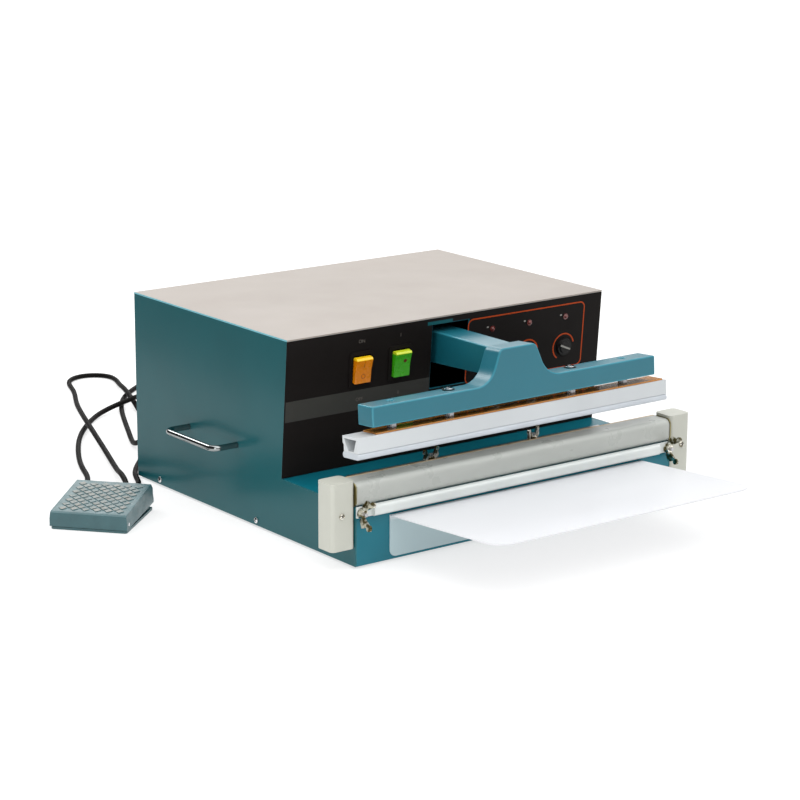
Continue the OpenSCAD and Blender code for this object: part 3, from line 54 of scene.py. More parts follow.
KNOBS = {"heat_knob": 70 * MM, "cool_knob": 133.5 * MM, "delay_knob": 197 * MM}
KNOB_Z = 189 * MM
KNOB_FRONT = 6 * MM
KNOB_TURN = math.radians(157)
LAMP_Z = 231 * MM
POWER_X = -144 * MM
MODE_X = -82 * MM
ROCKER_Z = 207 * MM
ROCKER_LEAN = math.radians(7)
ROCKER_AXLE = -2 * MM
ROCKER_FRONT = 8 * MM
ROCKER_DISH = 1.5 * MM
ROCKER_HALF = 15 * MM
PIVOT_Y = 120 * MM
PIVOT_Z = 203 * MM
OPEN = math.radians(4.2)
BEAM_TOP = 172.3 * MM
JAW_MID = -229 * MM
BOLT_X = 100 * MM
TRAY_Z = 60.5 * MM

# Frames: x and y on the face of the leaning panel, and the turn that opens the press arm from closed
PANEL = Matrix.Translation((0, WALL_Y, LEDGE_Z)) @ Matrix.Rotation(math.pi / 2 + LEAN, 4, "X")
OPENED = (Matrix.Translation((0, PIVOT_Y, PIVOT_Z)) @ Matrix.Rotation(-OPEN, 4, "X")
          @ Matrix.Translation((0, -PIVOT_Y, -PIVOT_Z)))


def up_panel(z):
    """Distance up the leaning panel at which its face is at height z."""
    return (z - LEDGE_Z) / math.cos(LEAN)


def link(obj):
    bpy.context.scene.collection.objects.link(obj)
    return obj


def linear(r, g, b):
    """Linear colour of an sRGB colour from 0 to 255."""
    def one(v):
        v /= 255
        return v / 12.92 if v <= 0.04045 else ((v + 0.055) / 1.055) ** 2.4
    return one(r), one(g), one(b), 1.0


# Camera, at the photograph's place
CAMERA_PLACE = (-1.9719, -2.5964, 0.9537)
CAMERA_YAW = math.radians(37.209)
CAMERA_PITCH = math.radians(14.3073)
CAMERA_ROLL = math.radians(0.2355)
SENSOR = 36
PICTURE_PIXELS = 800
FOCAL_PIXELS = 2498.468
CLIP_NEAR = 0.05
CLIP_FAR = 100


def make_camera():
    yaw, pitch, roll = CAMERA_YAW, CAMERA_PITCH, CAMERA_ROLL
    forward = Vector((math.sin(yaw) * math.cos(pitch), math.cos(yaw) * math.cos(pitch), -math.sin(pitch)))
    level = Vector((math.cos(yaw), -math.sin(yaw), 0))
    upright = level.cross(forward)
    right = level * math.cos(roll) + upright * math.sin(roll)
    up = upright * math.cos(roll) - level * math.sin(roll)
    data = bpy.data.cameras.new("camera")
    data.sensor_width = SENSOR
    data.lens = SENSOR * FOCAL_PIXELS / PICTURE_PIXELS
    data.clip_start = CLIP_NEAR
    data.clip_end = CLIP_FAR
    camera = link(bpy.data.objects.new("camera", data))
    turn = Matrix((right, up, -forward)).transposed().to_4x4()
    camera.matrix_world = Matrix.Translation(CAMERA_PLACE) @ turn
    bpy.context.scene.camera = camera


make_camera()


# Material building blocks; most of a noise texture's values lie between NOISE_LOW and NOISE_HIGH
NOISE_LOW = 0.3
NOISE_HIGH = 0.7


def shader(name, color, rough, metallic=0.0):
    """New material; returns it with its node tree and its main shader."""
    mat = bpy.data.materials.new(name)
    mat.use_nodes = True
    tree = mat.node_tree
    bsdf = tree.nodes["Principled BSDF"]
    bsdf.inputs["Base Color"].default_value = color
    bsdf.inputs["Roughness"].default_value = rough
    bsdf.inputs["Metallic"].default_value = metallic
    return mat, tree, bsdf


def add(tree, kind, **values):
    """New node; a value sets the input of that name or a property of the node."""
    node = tree.nodes.new(kind)
    for key, value in values.items():
        name = key.replace("_", " ")
        if name in node.inputs:
            node.inputs[name].default_value = value
        else:
            setattr(node, key, value)
    return node


def position(tree, scale=(1, 1, 1)):
    """Object coordinates, scaled along each axis."""
    coords = add(tree, "ShaderNodeTexCoord")
    mapping = add(tree, "ShaderNodeMapping")
    mapping.inputs["Scale"].default_value = scale
    tree.links.new(coords.outputs["Object"], mapping.inputs["Vector"])
    return mapping.outputs["Vector"]


def noise(tree, scale, detail=2.0, stretch=(1, 1, 1)):
    node = add(tree, "ShaderNodeTexNoise", Scale=scale, Detail=detail)
    tree.links.new(position(tree, stretch), node.inputs["Vector"])
    return node.outputs["Fac"]


def remap(tree, value, low, high, to_low, to_high):
    node = add(tree, "ShaderNodeMapRange")
    for key, v in zip(("From Min", "From Max", "To Min", "To Max"), (low, high, to_low, to_high)):
        node.inputs[key].default_value = v
    tree.links.new(value, node.inputs["Value"])
    return node.outputs["Result"]


def times(tree, a, b):
    node = add(tree, "ShaderNodeMath", operation="MULTIPLY")
    tree.links.new(a, node.inputs[0])
    tree.links.new(b, node.inputs[1])
    return node.outputs["Value"]


def along(tree, direction):
    """Distance of a point along a direction, in the part's frame at rest."""
    coords = add(tree, "ShaderNodeTexCoord")
    dot = add(tree, "ShaderNodeVectorMath", operation="DOT_PRODUCT")
    tree.links.new(coords.outputs["Object"], dot.inputs[0])
    dot.inputs[1].default_value = direction
    return dot.outputs["Value"]


def blend_colors(tree, fac, a, b):
    """Mix of two colours, each a colour or a socket."""
    node = add(tree, "ShaderNodeMix", data_type="RGBA")
    tree.links.new(fac, node.inputs["Factor"])
    for name, value in (("A", a), ("B", b)):
        socket = [s for s in node.inputs if s.name == name and s.type == "RGBA"][0]
        if isinstance(value, bpy.types.NodeSocket):
            tree.links.new(value, socket)
        else:
            socket.default_value = value
    return [s for s in node.outputs if s.type == "RGBA"][0]


def tinted(color, k):
    return (min(color[0] * k, 1), min(color[1] * k, 1), min(color[2] * k, 1), 1)


def mottle(tree, bsdf, color, vary, scale, stretch=(1, 1, 1)):
    """Gives the base colour a soft unevenness and returns its socket."""
    fac = remap(tree, noise(tree, scale, 3, stretch), NOISE_LOW, NOISE_HIGH, 0, 1)
    out = blend_colors(tree, fac, tinted(color, 1 - vary), tinted(color, 1 + vary))
    tree.links.new(out, bsdf.inputs["Base Color"])
    return out


def uneven_gloss(tree, bsdf, rough, spread, scale, stretch=(1, 1, 1)):
    """Lets the roughness vary by spread to either side."""
    grain = noise(tree, scale, 4, stretch)
    fac = remap(tree, grain, NOISE_LOW, NOISE_HIGH, rough - spread, rough + spread)
    tree.links.new(fac, bsdf.inputs["Roughness"])


def bump(tree, bsdf, height, strength, distance):
    node = add(tree, "ShaderNodeBump", Strength=strength, Distance=distance)
    tree.links.new(height, node.inputs["Height"])
    tree.links.new(node.outputs["Normal"], bsdf.inputs["Normal"])


# Kinds of material, and where the tints in some of them begin and end; the rockers' bright upper ends are
# painted highlight and the tray flange's tint is painted shade
TOP_HIGHLIGHT_FROM = 2.4 * MM
TOP_HIGHLIGHT_TO = 1.4 * MM
FLANGE_FROM = 6 * MM
FLANGE_TO = 3 * MM
DROP_FROM = 1 * MM
DROP_TO = 8 * MM
EDGE_BLUR = 2 * MM
PEEL_SCALE = 420
PEEL_DEPTH = 0.6 * MM
WEAVE_SCALE = 1600


def paint(name, color, rough, coat=0.6, gloss=0.14, peel=0.06, vary=0.05, shine=0.15):
    """Stoved paint on metal: soft orange peel, slight unevenness and a glossy skin."""
    mat, tree, bsdf = shader(name, color, rough)
    mottle(tree, bsdf, color, vary, 9)
    uneven_gloss(tree, bsdf, rough, 0.05, 14)
    bump(tree, bsdf, noise(tree, PEEL_SCALE, 2), peel, PEEL_DEPTH)
    bsdf.inputs["Specular IOR Level"].default_value = shine
    bsdf.inputs["Coat Weight"].default_value = coat
    bsdf.inputs["Coat Roughness"].default_value = gloss
    return mat


def plastic(name, color, rough, grain=500, depth=0.05, coat=0.0, through=0.0, vary=0.05, shine=0.5):
    """Moulded plastic with a fine grain; through lets some light into it."""
    mat, tree, bsdf = shader(name, color, rough)
    mottle(tree, bsdf, color, vary, 25)
    uneven_gloss(tree, bsdf, rough, 0.06, 60)
    bump(tree, bsdf, noise(tree, grain, 3), depth, 0.0003)
    bsdf.inputs["Specular IOR Level"].default_value = shine
    bsdf.inputs["Coat Weight"].default_value = coat
    bsdf.inputs["Transmission Weight"].default_value = through
    return mat


def metal(name, color, rough, stretch=(1, 1, 1), scale=250, spread=0.08, depth=0.04, vary=0.06):
    """Bare metal; stretch draws its finish out along an axis, as brushing does."""
    mat, tree, bsdf = shader(name, color, rough, 1.0)
    mottle(tree, bsdf, color, vary, 40)
    uneven_gloss(tree, bsdf, rough, spread, scale, stretch)
    bump(tree, bsdf, noise(tree, scale, 3, stretch), depth, 0.0002)
    return mat


def plated(name, dull, bright):
    """Plated brass, patchy where its plating has dulled."""
    mat, tree, bsdf = shader(name, bright, 0.14, 1.0)
    patches = remap(tree, noise(tree, 150, 2), 0.42, 0.58, 0, 1)
    tree.links.new(blend_colors(tree, patches, dull, bright), bsdf.inputs["Base Color"])
    uneven_gloss(tree, bsdf, 0.14, 0.05, 120)
    return mat


def banded(name, color, rough, pitch, axis, metallic=0.0, depth=0.6):
    """Material with even ridges, pitch apart along an axis, such as wound wire."""
    mat, tree, bsdf = shader(name, color, rough, metallic)
    mottle(tree, bsdf, color, 0.12, 60)
    wave = add(tree, "ShaderNodeTexWave", bands_direction=axis, Scale=math.pi / 10 / pitch)
    tree.links.new(position(tree), wave.inputs["Vector"])
    bump(tree, bsdf, wave.outputs["Fac"], depth, pitch * 0.06)
    return mat


def woven(name, color, edge_color, edge_y):
    """Coated glass cloth: a fine square weave, cloudy, with a discoloured edge behind edge_y."""
    mat, tree, bsdf = shader(name, color, 0.34)
    clouds = remap(tree, noise(tree, 22, 4, (1, 2.5, 2.5)), 0.35, 0.68, 0, 1)
    base = blend_colors(tree, clouds, tinted(color, 0.965), tinted(color, 1.03))
    fac = remap(tree, along(tree, (0, 1, 0)), edge_y - EDGE_BLUR, edge_y, 0, 1)
    tree.links.new(blend_colors(tree, fac, base, edge_color), bsdf.inputs["Base Color"])
    checks = add(tree, "ShaderNodeTexChecker", Scale=WEAVE_SCALE)
    tree.links.new(position(tree), checks.inputs["Vector"])
    bump(tree, bsdf, checks.outputs["Fac"], 0.10, 0.0001)
    uneven_gloss(tree, bsdf, 0.34, 0.10, 30)
    return mat


def lid_material(color, edge_color):
    """Pale stoved paint, with a light teal on the cover's two side edges: the housing's own colour, lightened
    as a painted edge highlight.
    """
    mat, tree, bsdf = shader("lid_paint", color, 0.42)
    base = mottle(tree, bsdf, color, 0.025, 5)
    split = add(tree, "ShaderNodeSeparateXYZ")
    tree.links.new(add(tree, "ShaderNodeNewGeometry").outputs["True Normal"], split.inputs["Vector"])
    outward = add(tree, "ShaderNodeMath", operation="ABSOLUTE")
    tree.links.new(split.outputs["X"], outward.inputs[0])
    fac = remap(tree, outward.outputs["Value"], 0.3, 0.5, 0, 1)
    tree.links.new(blend_colors(tree, fac, base, edge_color), bsdf.inputs["Base Color"])
    uneven_gloss(tree, bsdf, 0.42, 0.05, 12)
    bump(tree, bsdf, noise(tree, PEEL_SCALE, 2), 0.05, PEEL_DEPTH)
    bsdf.inputs["Specular IOR Level"].default_value = 0.2
    bsdf.inputs["Coat Weight"].default_value = 0.08
    bsdf.inputs["Coat Roughness"].default_value = 0.2
    return mat


def rocker_material(name, color, painted_top_highlight):
    """Clear coloured plastic, with a painted highlight along its upper end where the light falls on it."""
    mat, tree, bsdf = shader(name, color, 0.28)
    base = mottle(tree, bsdf, color, 0.05, 60)
    up = PANEL.to_3x3() @ Vector((0, 1, 0))
    end = up.dot(PANEL @ Vector((0, up_panel(ROCKER_Z) + ROCKER_HALF, 0)))
    fac = remap(tree, along(tree, up), end - TOP_HIGHLIGHT_FROM, end - TOP_HIGHLIGHT_TO, 0, 1)
    tree.links.new(blend_colors(tree, fac, base, painted_top_highlight), bsdf.inputs["Base Color"])
    uneven_gloss(tree, bsdf, 0.28, 0.05, 120)
    bump(tree, bsdf, noise(tree, 500, 3), 0.04, 0.0003)
    bsdf.inputs["Coat Weight"].default_value = 0.4
    return mat


def tray_material(color, flange_painted_shade):
    """White stoved sheet; its flange against the front casing is tinted blue-grey as painted shade."""
    mat, tree, bsdf = shader("tray_white", color, 0.40)
    base = mottle(tree, bsdf, color, 0.004, 9)
    rear = remap(tree, along(tree, (0, 1, 0)), FRONT_Y - FLANGE_FROM, FRONT_Y - FLANGE_TO, 0, 1)
    low = remap(tree, along(tree, (0, 0, 1)), TRAY_Z - DROP_FROM, TRAY_Z - DROP_TO, 0, 1)
    out = blend_colors(tree, times(tree, rear, low), base, flange_painted_shade)
    tree.links.new(out, bsdf.inputs["Base Color"])
    uneven_gloss(tree, bsdf, 0.40, 0.05, 14)
    bump(tree, bsdf, noise(tree, PEEL_SCALE, 2), 0.02, PEEL_DEPTH)
    bsdf.inputs["Specular IOR Level"].default_value = 0.15
    bsdf.inputs["Coat Weight"].default_value = 0.3
    bsdf.inputs["Coat Roughness"].default_value = 0.2
    return mat


# Foot pedal's tread, and the frame of its sloping face
PEDAL_PLACE = Vector((-400, 112, 0)) * MM
PEDAL_TURN = math.radians(-49)
PEDAL_D = 114 * MM
PEDAL_FRONT = 24 * MM
PEDAL_BACK_H = 36 * MM
TREAD_H = 0.8 * MM
TREAD_START = 3 * MM
TREAD_RUN = PEDAL_D - 10 * MM
TREAD_HIGHLIGHT_FROM = 0.6 * TREAD_H
TREAD_HIGHLIGHT_TO = 0.95 * TREAD_H
PEDAL_SLOPE = math.atan((PEDAL_BACK_H - PEDAL_FRONT) / TREAD_RUN)
TREAD = (Matrix.Translation(PEDAL_PLACE) @ Matrix.Rotation(PEDAL_TURN, 4, "Z")
         @ Matrix.Translation((0, TREAD_START - PEDAL_D / 2, PEDAL_FRONT))
         @ Matrix.Rotation(PEDAL_SLOPE, 4, "X"))


def pedal_material(color, diamond_highlight):
    """Hammered paint, with a patchy painted highlight on top of the tread's diamonds."""
    mat, tree, bsdf = shader("pedal_paint", color, 0.40)
    base = mottle(tree, bsdf, color, 0.10, 60)
    normal = TREAD.to_3x3() @ Vector((0, 0, 1))
    start = normal.dot(TREAD.translation)
    height = remap(tree, along(tree, normal), start + TREAD_HIGHLIGHT_FROM, start + TREAD_HIGHLIGHT_TO, 0, 1)
    highlight_share = times(tree, height, remap(tree, noise(tree, 90, 3), 0.35, 0.6, 0.15, 0.95))
    tree.links.new(blend_colors(tree, highlight_share, base, diamond_highlight), bsdf.inputs["Base Color"])
    uneven_gloss(tree, bsdf, 0.40, 0.08, 80)
    bump(tree, bsdf, noise(tree, 520, 3), 0.22, 0.0005)
    bsdf.inputs["Coat Weight"].default_value = 0.3
    bsdf.inputs["Coat Roughness"].default_value = 0.25
    return mat


CLOTH_EDGE_Y = -222.5 * MM
MATS = {
    # One housing teal in two copies: a darker, greener one on the pan, side and rear panels as painted shade,
    # and a brighter one on the front casing as painted light
    "teal": paint("teal_paint", linear(14, 82, 88), 0.38, coat=0.28, gloss=0.2),
    "casing": paint("teal_casing", linear(10, 104, 120), 0.38, coat=0.4, gloss=0.2),
    # Lighter teal for the housing's rounded edges: painted highlight
    "teal_edge_highlight": paint("teal_paint_edge_highlight", linear(80, 150, 162), 0.34),
    "casting": paint("teal_casting", linear(20, 104, 120), 0.40, coat=0.5, gloss=0.30, peel=0.14, shine=0.35),
    # Lighter teal for the arm's rounded edges: painted highlight
    "casting_edge_highlight": paint("teal_casting_edge", linear(44, 126, 143), 0.36, coat=0.2, peel=0.14, shine=0.4),
    "lid": lid_material(linear(158, 150, 143), linear(112, 178, 190)),
    "panel": plastic("panel_black", linear(28, 25, 24), 0.42, grain=700, depth=0.03, shine=0.05),
    "grey_print": plastic("grey_print", linear(48, 47, 43), 0.5, grain=700, depth=0.02),
    "orange_print": plastic("orange_print", linear(178, 66, 20), 0.45, grain=700, depth=0.02, shine=0.1),
    "pale_print": plastic("pale_print", linear(150, 148, 142), 0.5, grain=700, depth=0.02),
    "dim_print": plastic("dim_print", linear(98, 92, 86), 0.5, grain=700, depth=0.02),
    "black": plastic("black_plastic", linear(20, 19, 19), 0.34, coat=0.15),
    "knob": plastic("knob_black", linear(19, 18, 18), 0.4, shine=0.2),
    # Near-black for the crosses on the screw heads: painted shade of their recesses
    "recess": plastic("painted_recess_shade", linear(14, 13, 12), 0.6),
    "rubber": plastic("black_rubber", linear(14, 12, 11), 0.55, grain=900, depth=0.15, shine=0.08),
    # The rockers' second colours are painted highlights along their upper ends
    "orange": rocker_material("orange_rocker", linear(228, 130, 0), linear(255, 206, 24)),
    "green": rocker_material("green_rocker", linear(62, 176, 20), linear(206, 222, 40)),
    "rocker_mark": plastic("rocker_mark", linear(170, 92, 8), 0.5),
    "rocker_dot": plastic("rocker_dot", linear(110, 22, 18), 0.3),
    "lens": plastic("lamp_lens", linear(120, 34, 22), 0.12, coat=0.8, through=0.25),
    "chrome": metal("chrome", (0.78, 0.78, 0.79, 1), 0.09, spread=0.04, depth=0.02),
    "steel": metal("brushed_steel", (0.52, 0.52, 0.53, 1), 0.34, stretch=(4, 60, 60), scale=40),
    # Dark metal for the rings round the beam's bolts: painted shade
    "bolt_shade": metal("painted_bolt_shade", (0.07, 0.065, 0.06, 1), 0.38),
    "spring": metal("spring_steel", (0.40, 0.40, 0.42, 1), 0.30),
    "brass": plated("plated_brass", linear(96, 88, 58), linear(236, 232, 220)),
    # The handles get a darker copy of the chrome: painted reflection of dark surroundings
    "handle": metal("handle_chrome_dark_reflection", (0.30, 0.32, 0.32, 1), 0.10, spread=0.04, depth=0.02),
    "plate": metal("end_plate_brass", linear(150, 140, 96), 0.35),
    "bronze": metal("bush_bronze", linear(184, 140, 76), 0.32),
    "jaw": metal("jaw_aluminium", (0.62, 0.63, 0.64, 1), 0.36, stretch=(2, 80, 80), scale=30),
    "white": paint("white_coat", linear(198, 202, 204), 0.36, coat=0.3, gloss=0.2),
    "lip": plastic("white_lip", linear(192, 198, 204), 0.36),
    # The tray's second colour is painted shade on its flange
    "tray": tray_material(linear(219, 220, 223), linear(176, 196, 200)),
    "ivory": plastic("ivory_plastic", linear(184, 185, 175), 0.36, grain=300, depth=0.06, vary=0.02),
    "bar": plastic("bar_white", linear(212, 217, 215), 0.34, grain=300, depth=0.06, vary=0.04),
    "amber": plastic("amber_strip", linear(196, 126, 42), 0.22, coat=0.4, through=0.1),
    "insulator": plastic("insulator_sheet", linear(214, 204, 172), 0.55),
    "board": plastic("board_green", linear(30, 90, 52), 0.40),
    # The pedal's second colour is a painted highlight on the tread's diamonds
    "pedal": pedal_material(linear(52, 91, 96), linear(116, 115, 107)),
    "cloth": woven("coated_cloth", linear(174, 177, 172), linear(198, 172, 136), CLOTH_EDGE_Y),
    "winding": banded("coil_winding", linear(160, 88, 44), 0.34, pitch=6 * MM, axis="Z", metallic=0.8),
    "laminations": banded("core_laminations", linear(66, 64, 66), 0.5, pitch=5 * MM, axis="Y", metallic=0.6),
}


# The solids keep their shapes: each gets its material and slightly rounded edges, some with a lighter painted
# highlight on the rounded edges
WELD_GAP = 0.01 * MM
FLAT_ANGLE = math.radians(0.6)


def dress(names, material, edge=0.0005, segments=2, angle=35, highlight_rim=None, clamp=True):
    """Material for nodes, with edges rounded off; the rim material, lighter than the body's, is a painted
    highlight on the rounded edges.
    """
    for name in names.split():
        obj = NODES[name]
        mesh = obj.data
        if "custom_normal" in mesh.attributes:
            mesh.attributes.remove(mesh.attributes["custom_normal"])
        mesh.polygons.foreach_set("use_smooth", [True] * len(mesh.polygons))
        mesh.materials.clear()
        mesh.materials.append(MATS[material])
        weld = obj.modifiers.new("weld", "WELD")
        weld.merge_threshold = WELD_GAP
        flat = obj.modifiers.new("flat", "DECIMATE")
        flat.decimate_type = "DISSOLVE"
        flat.angle_limit = FLAT_ANGLE
        round_off = obj.modifiers.new("edges", "BEVEL")
        round_off.width = edge
        round_off.segments = segments
        round_off.limit_method = "ANGLE"
        round_off.angle_limit = math.radians(angle)
        round_off.harden_normals = False
        round_off.use_clamp_overlap = clamp
        if highlight_rim:
            mesh.materials.append(MATS[highlight_rim])
            round_off.material = 1
        even = obj.modifiers.new("normals", "WEIGHTED_NORMAL")
        even.keep_sharp = False


dress("base_pan side_panel_left side_panel_right rear_panel", "teal", 0.0007, highlight_rim="teal_edge_highlight")
dress("front_casing", "casing", 0.0007, highlight_rim="teal_edge_highlight")
dress("press_arm", "casting", 0.0020, segments=3, highlight_rim="casting_edge_highlight", clamp=False)
dress("top_cover", "lid", 0.0007)
dress("control_panel", "panel", 0.0002)
dress("power_switch mode_switch", "panel", 0.0004)
dress("power_inlet pedal_switch", "black", 0.0004)
dress("heat_knob cool_knob delay_knob", "knob", 0.0006)
dress("rubber_feet cord_glands", "rubber", 0.0005)
dress("power_rocker", "orange", 0.0012, segments=3)
dress("mode_rocker", "green", 0.0012, segments=3)
dress("lamp_lenses", "lens", 0.0002)
dress("handle_left handle_right", "handle", 0.0003)
dress("case_screws", "chrome", 0.0003)
dress("front_screws", "brass", 0.0003)
dress("jaw_bolts solenoid_plunger pedal_pin", "chrome", 0.0003)
dress("jaw_spacers", "spring", 0.0003)
dress("handle_nuts timer_pots clamp_studs rear_clamp", "steel", 0.0003)
dress("pivot_shaft pivot_brackets solenoid_frame", "steel", 0.0003)
dress("return_spring pedal_springs", "spring", 0.0001, angle=80)
dress("lower_jaw", "jaw", 0.0004)
dress("heater_strip", "steel", 0.0001)
dress("jaw_insulator", "insulator", 0.0001)
dress("upper_jaw", "white", 0.0006)
dress("jaw_lip", "lip", 0.0006)
dress("work_tray", "tray", 0.0004)
dress("clamp_bar", "bar", 0.0006)
dress("end_block_left end_block_right", "ivory", 0.0028, segments=3)
dress("wing_nut_left wing_nut_right rear_wing_left rear_wing_right", "brass", 0.0005)
dress("insulation_strip", "amber", 0.0003)
dress("arm_bushes", "bronze", 0.0003)
dress("solenoid_coil transformer_coil", "winding", 0.0004)
dress("transformer_core", "laminations", 0.0004)
dress("timer_board", "board", 0.0002)
dress("pedal_base pedal_cover", "pedal", 0.0010)


# Foot cord, on the route that its solid follows

CORD_DIA = 7.5 * MM
PEDAL_REAR = Matrix.Rotation(PEDAL_TURN, 3, "Z") @ Vector((0, 1, 0))
PEDAL_GLAND = 82 * MM
PEDAL_GLAND_Z = 11.5 * MM
CORD_START = Vector((-190, 288, 38)) * MM
CORD_END = PEDAL_PLACE + Vector((0, 0, PEDAL_GLAND_Z)) + PEDAL_REAR * PEDAL_GLAND
CORD_LEAD = 32 * MM
CORD_TAIL = 30 * MM
CORD_STEPS = 8
CORD_ROUTE = [
    (-193, 352, 20.5), (-189, 384, 4), (-158, 444, 4), (-93, 582, 4), (-48, 644, 4), (1, 682, 4),
    (46, 718, 4), (94, 711, 4), (113, 659, 4), (69, 624, 5), (15, 604, 9), (-34, 589, 19.5),
    (-80, 579, 15), (-135, 575, 4), (-187, 520, 4), (-235, 463, 4), (-304, 339, 4), (-320, 280, 4),
    (-353, 240, 4), (-330, 196, 4), (-279, 202, 4), (-269, 262, 4), (-186, 347, 4), (-118, 457, 4),
    (-64, 579, 4), (-48, 641, 17.5), (-18, 708, 4), (8, 766, 4), (-30, 801, 4), (-76, 778, 4),
    (-92, 716, 4), (-132, 647, 5), (-195, 513, 21), (-236, 379, 4), (-286, 263, 9), (-303, 227, 20.5),
]


def spline(points, steps):
    """Points of a cubic B-spline that starts and ends on the list's end points."""
    q = [points[0]] * 2 + points + [points[-1]] * 2
    out = []
    for a, b, c, d in zip(q, q[1:], q[2:], q[3:]):
        for k in range(steps):
            t = k / steps
            out.append((a * (1 - t) ** 3 + b * (3 * t ** 3 - 6 * t * t + 4)
                        + c * (3 * t + 3 * t * t - 3 * t ** 3 + 1) + d * t ** 3) / 6)
    return out + [points[-1]]


def make_cord():
    route = [CORD_START, CORD_START + Vector((0, CORD_LEAD, 0))]
    route += [Vector(p) * MM for p in CORD_ROUTE]
    route += [CORD_END + PEDAL_REAR * CORD_TAIL, CORD_END]
    path = spline(route, CORD_STEPS)
    data = bpy.data.curves.new("cord", "CURVE")
    data.dimensions = "3D"
    data.bevel_depth = CORD_DIA / 2
    data.bevel_resolution = 4
    data.use_fill_caps = True
    line = data.splines.new("POLY")
    line.points.add(len(path) - 1)
    for point, place in zip(line.points, path):
        point.co = (*place, 1)
    line.use_smooth = True
    data.materials.append(MATS["rubber"])
    cord = link(bpy.data.objects.new("cord", data))
    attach(cord, "base")
    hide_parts("foot_cord")


make_cord()


# Small pieces made here: each is a mesh that rides on a body

def piece(name, bm, material, body):
    """Finishes a mesh as a piece of the part."""
    bmesh.ops.recalc_face_normals(bm, faces=bm.faces)
    mesh = bpy.data.meshes.new(name)
    bm.to_mesh(mesh)
    bm.free()
    mesh.materials.append(MATS[material])
    obj = link(bpy.data.objects.new(name, mesh))
    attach(obj, body)
    return obj


def strip(bm, points, half, low, high, place, closed=False):
    """Flat strip along points (x, y) or (x, y, lift), 2 * half wide and from low to high over them."""
    points = [Vector((*p, 0)) if len(p) == 2 else Vector(p) for p in points]
    count = len(points)
    rings = []
    for i, p in enumerate(points):
        before = points[i - 1] if i or closed else p
        after = points[(i + 1) % count] if i + 1 < count or closed else p
        run = (after - before).to_2d().normalized()
        side = Vector((-run.y, run.x, 0)) * half
        corners = (p - side, low), (p + side, low), (p + side, high), (p - side, high)
        rings.append([bm.verts.new(place @ (q + Vector((0, 0, h)))) for q, h in corners])
    pairs = list(zip(rings, rings[1:])) + ([(rings[-1], rings[0])] if closed else [])
    for a, b in pairs:
        for k in range(4):
            bm.faces.new((a[k], a[(k + 1) % 4], b[(k + 1) % 4], b[k]))
    if not closed:
        bm.faces.new(rings[0])
        bm.faces.new(rings[-1])


def arc(x, y, r, start, end, steps):
    """Points (x, y) on an arc; angles in degrees."""
    angles = [math.radians(start + (end - start) * k / steps) for k in range(steps + 1)]
    return [(x + r * math.cos(a), y + r * math.sin(a)) for a in angles]


def ring(r, count):
    """Points (x, y) evenly round a circle, without repeats."""
    return arc(0, 0, r, 0, 360 - 360 / count, count - 1)


def round_rect(x0, y0, x1, y1, r, steps=6):
    """Points round a rectangle with rounded corners, without repeats."""
    corners = (x1 - r, y1 - r, 0), (x0 + r, y1 - r, 90), (x0 + r, y0 + r, 180), (x1 - r, y0 + r, 270)
    return [p for x, y, a in corners for p in arc(x, y, r, a, a + 90, steps)]


def lettering(bm, text, size, x, y, low, high, place):
    """Plain raised letters with their middle at x and y."""
    data = bpy.data.curves.new("lettering", "FONT")
    data.body = text
    data.size = size
    data.align_x = "CENTER"
    data.align_y = "CENTER"
    data.extrude = (high - low) / 2
    obj = link(bpy.data.objects.new("lettering", data))
    mesh = bpy.data.meshes.new_from_object(obj)
    mesh.transform(place @ Matrix.Translation((x, y, (low + high) / 2)))
    bm.from_mesh(mesh)
    bpy.data.objects.remove(obj)
    bpy.data.curves.remove(data)
    bpy.data.meshes.remove(mesh)


# Print on the control panel: thin raised ink
INK_LOW = -0.02 * MM
INK_TOP = 0.06 * MM
INK_OVER = 0.10 * MM
OUTLINE = (29 * MM, 160 * MM, 230 * MM, 248 * MM)
OUTLINE_ROUND = 8 * MM
OUTLINE_HALF = 0.9 * MM
SCALE_R = 18 * MM
SCALE_HALF = 1.0 * MM
SCALE_START = 235
SCALE_END = 15
SCALE_STEPS = 28
BAND = (-258.5 * MM, 152 * MM, -31.5 * MM, 179 * MM)
TOP_STRIP = (-39 * MM, 249.5 * MM, 2 * MM, 254 * MM)
LABEL_SIZE = 6.5 * MM
LABEL_HIGH = 243 * MM
LABEL_LOW = 166 * MM
LAMP_MARK = (-9.5 * MM, 3 * MM, 3.2 * MM, 1.0 * MM)


def print_field(name, box, material):
    """Plain rectangle of ink; box gives its x and height from and to."""
    x0, z0, x1, z1 = box
    low, high = up_panel(z0), up_panel(z1)
    middle = (low + high) / 2
    bm = bmesh.new()
    strip(bm, [(x0, middle), (x1, middle)], (high - low) / 2, INK_LOW, INK_TOP, PANEL)
    piece(name, bm, material, "base")


def print_orange():
    """Outline round the timers and a scale round each knob."""
    bm = bmesh.new()
    x0, z0, x1, z1 = OUTLINE
    outline = round_rect(x0, up_panel(z0), x1, up_panel(z1), OUTLINE_ROUND)
    strip(bm, outline, OUTLINE_HALF, INK_LOW, INK_TOP, PANEL, closed=True)
    for x in KNOBS.values():
        scale = arc(x, up_panel(KNOB_Z), SCALE_R, SCALE_START, SCALE_END, SCALE_STEPS)
        strip(bm, scale, SCALE_HALF, INK_LOW, INK_TOP, PANEL)
    piece("orange_print", bm, "orange_print", "base")


def print_pale():
    """Marks beside the lamps."""
    bm = bmesh.new()
    dx, dz, length, half = LAMP_MARK
    for x in KNOBS.values():
        y = up_panel(LAMP_Z + dz)
        strip(bm, [(x + dx, y), (x + dx + length, y)], half, INK_LOW, INK_TOP, PANEL)
    piece("lamp_marks", bm, "pale_print", "base")


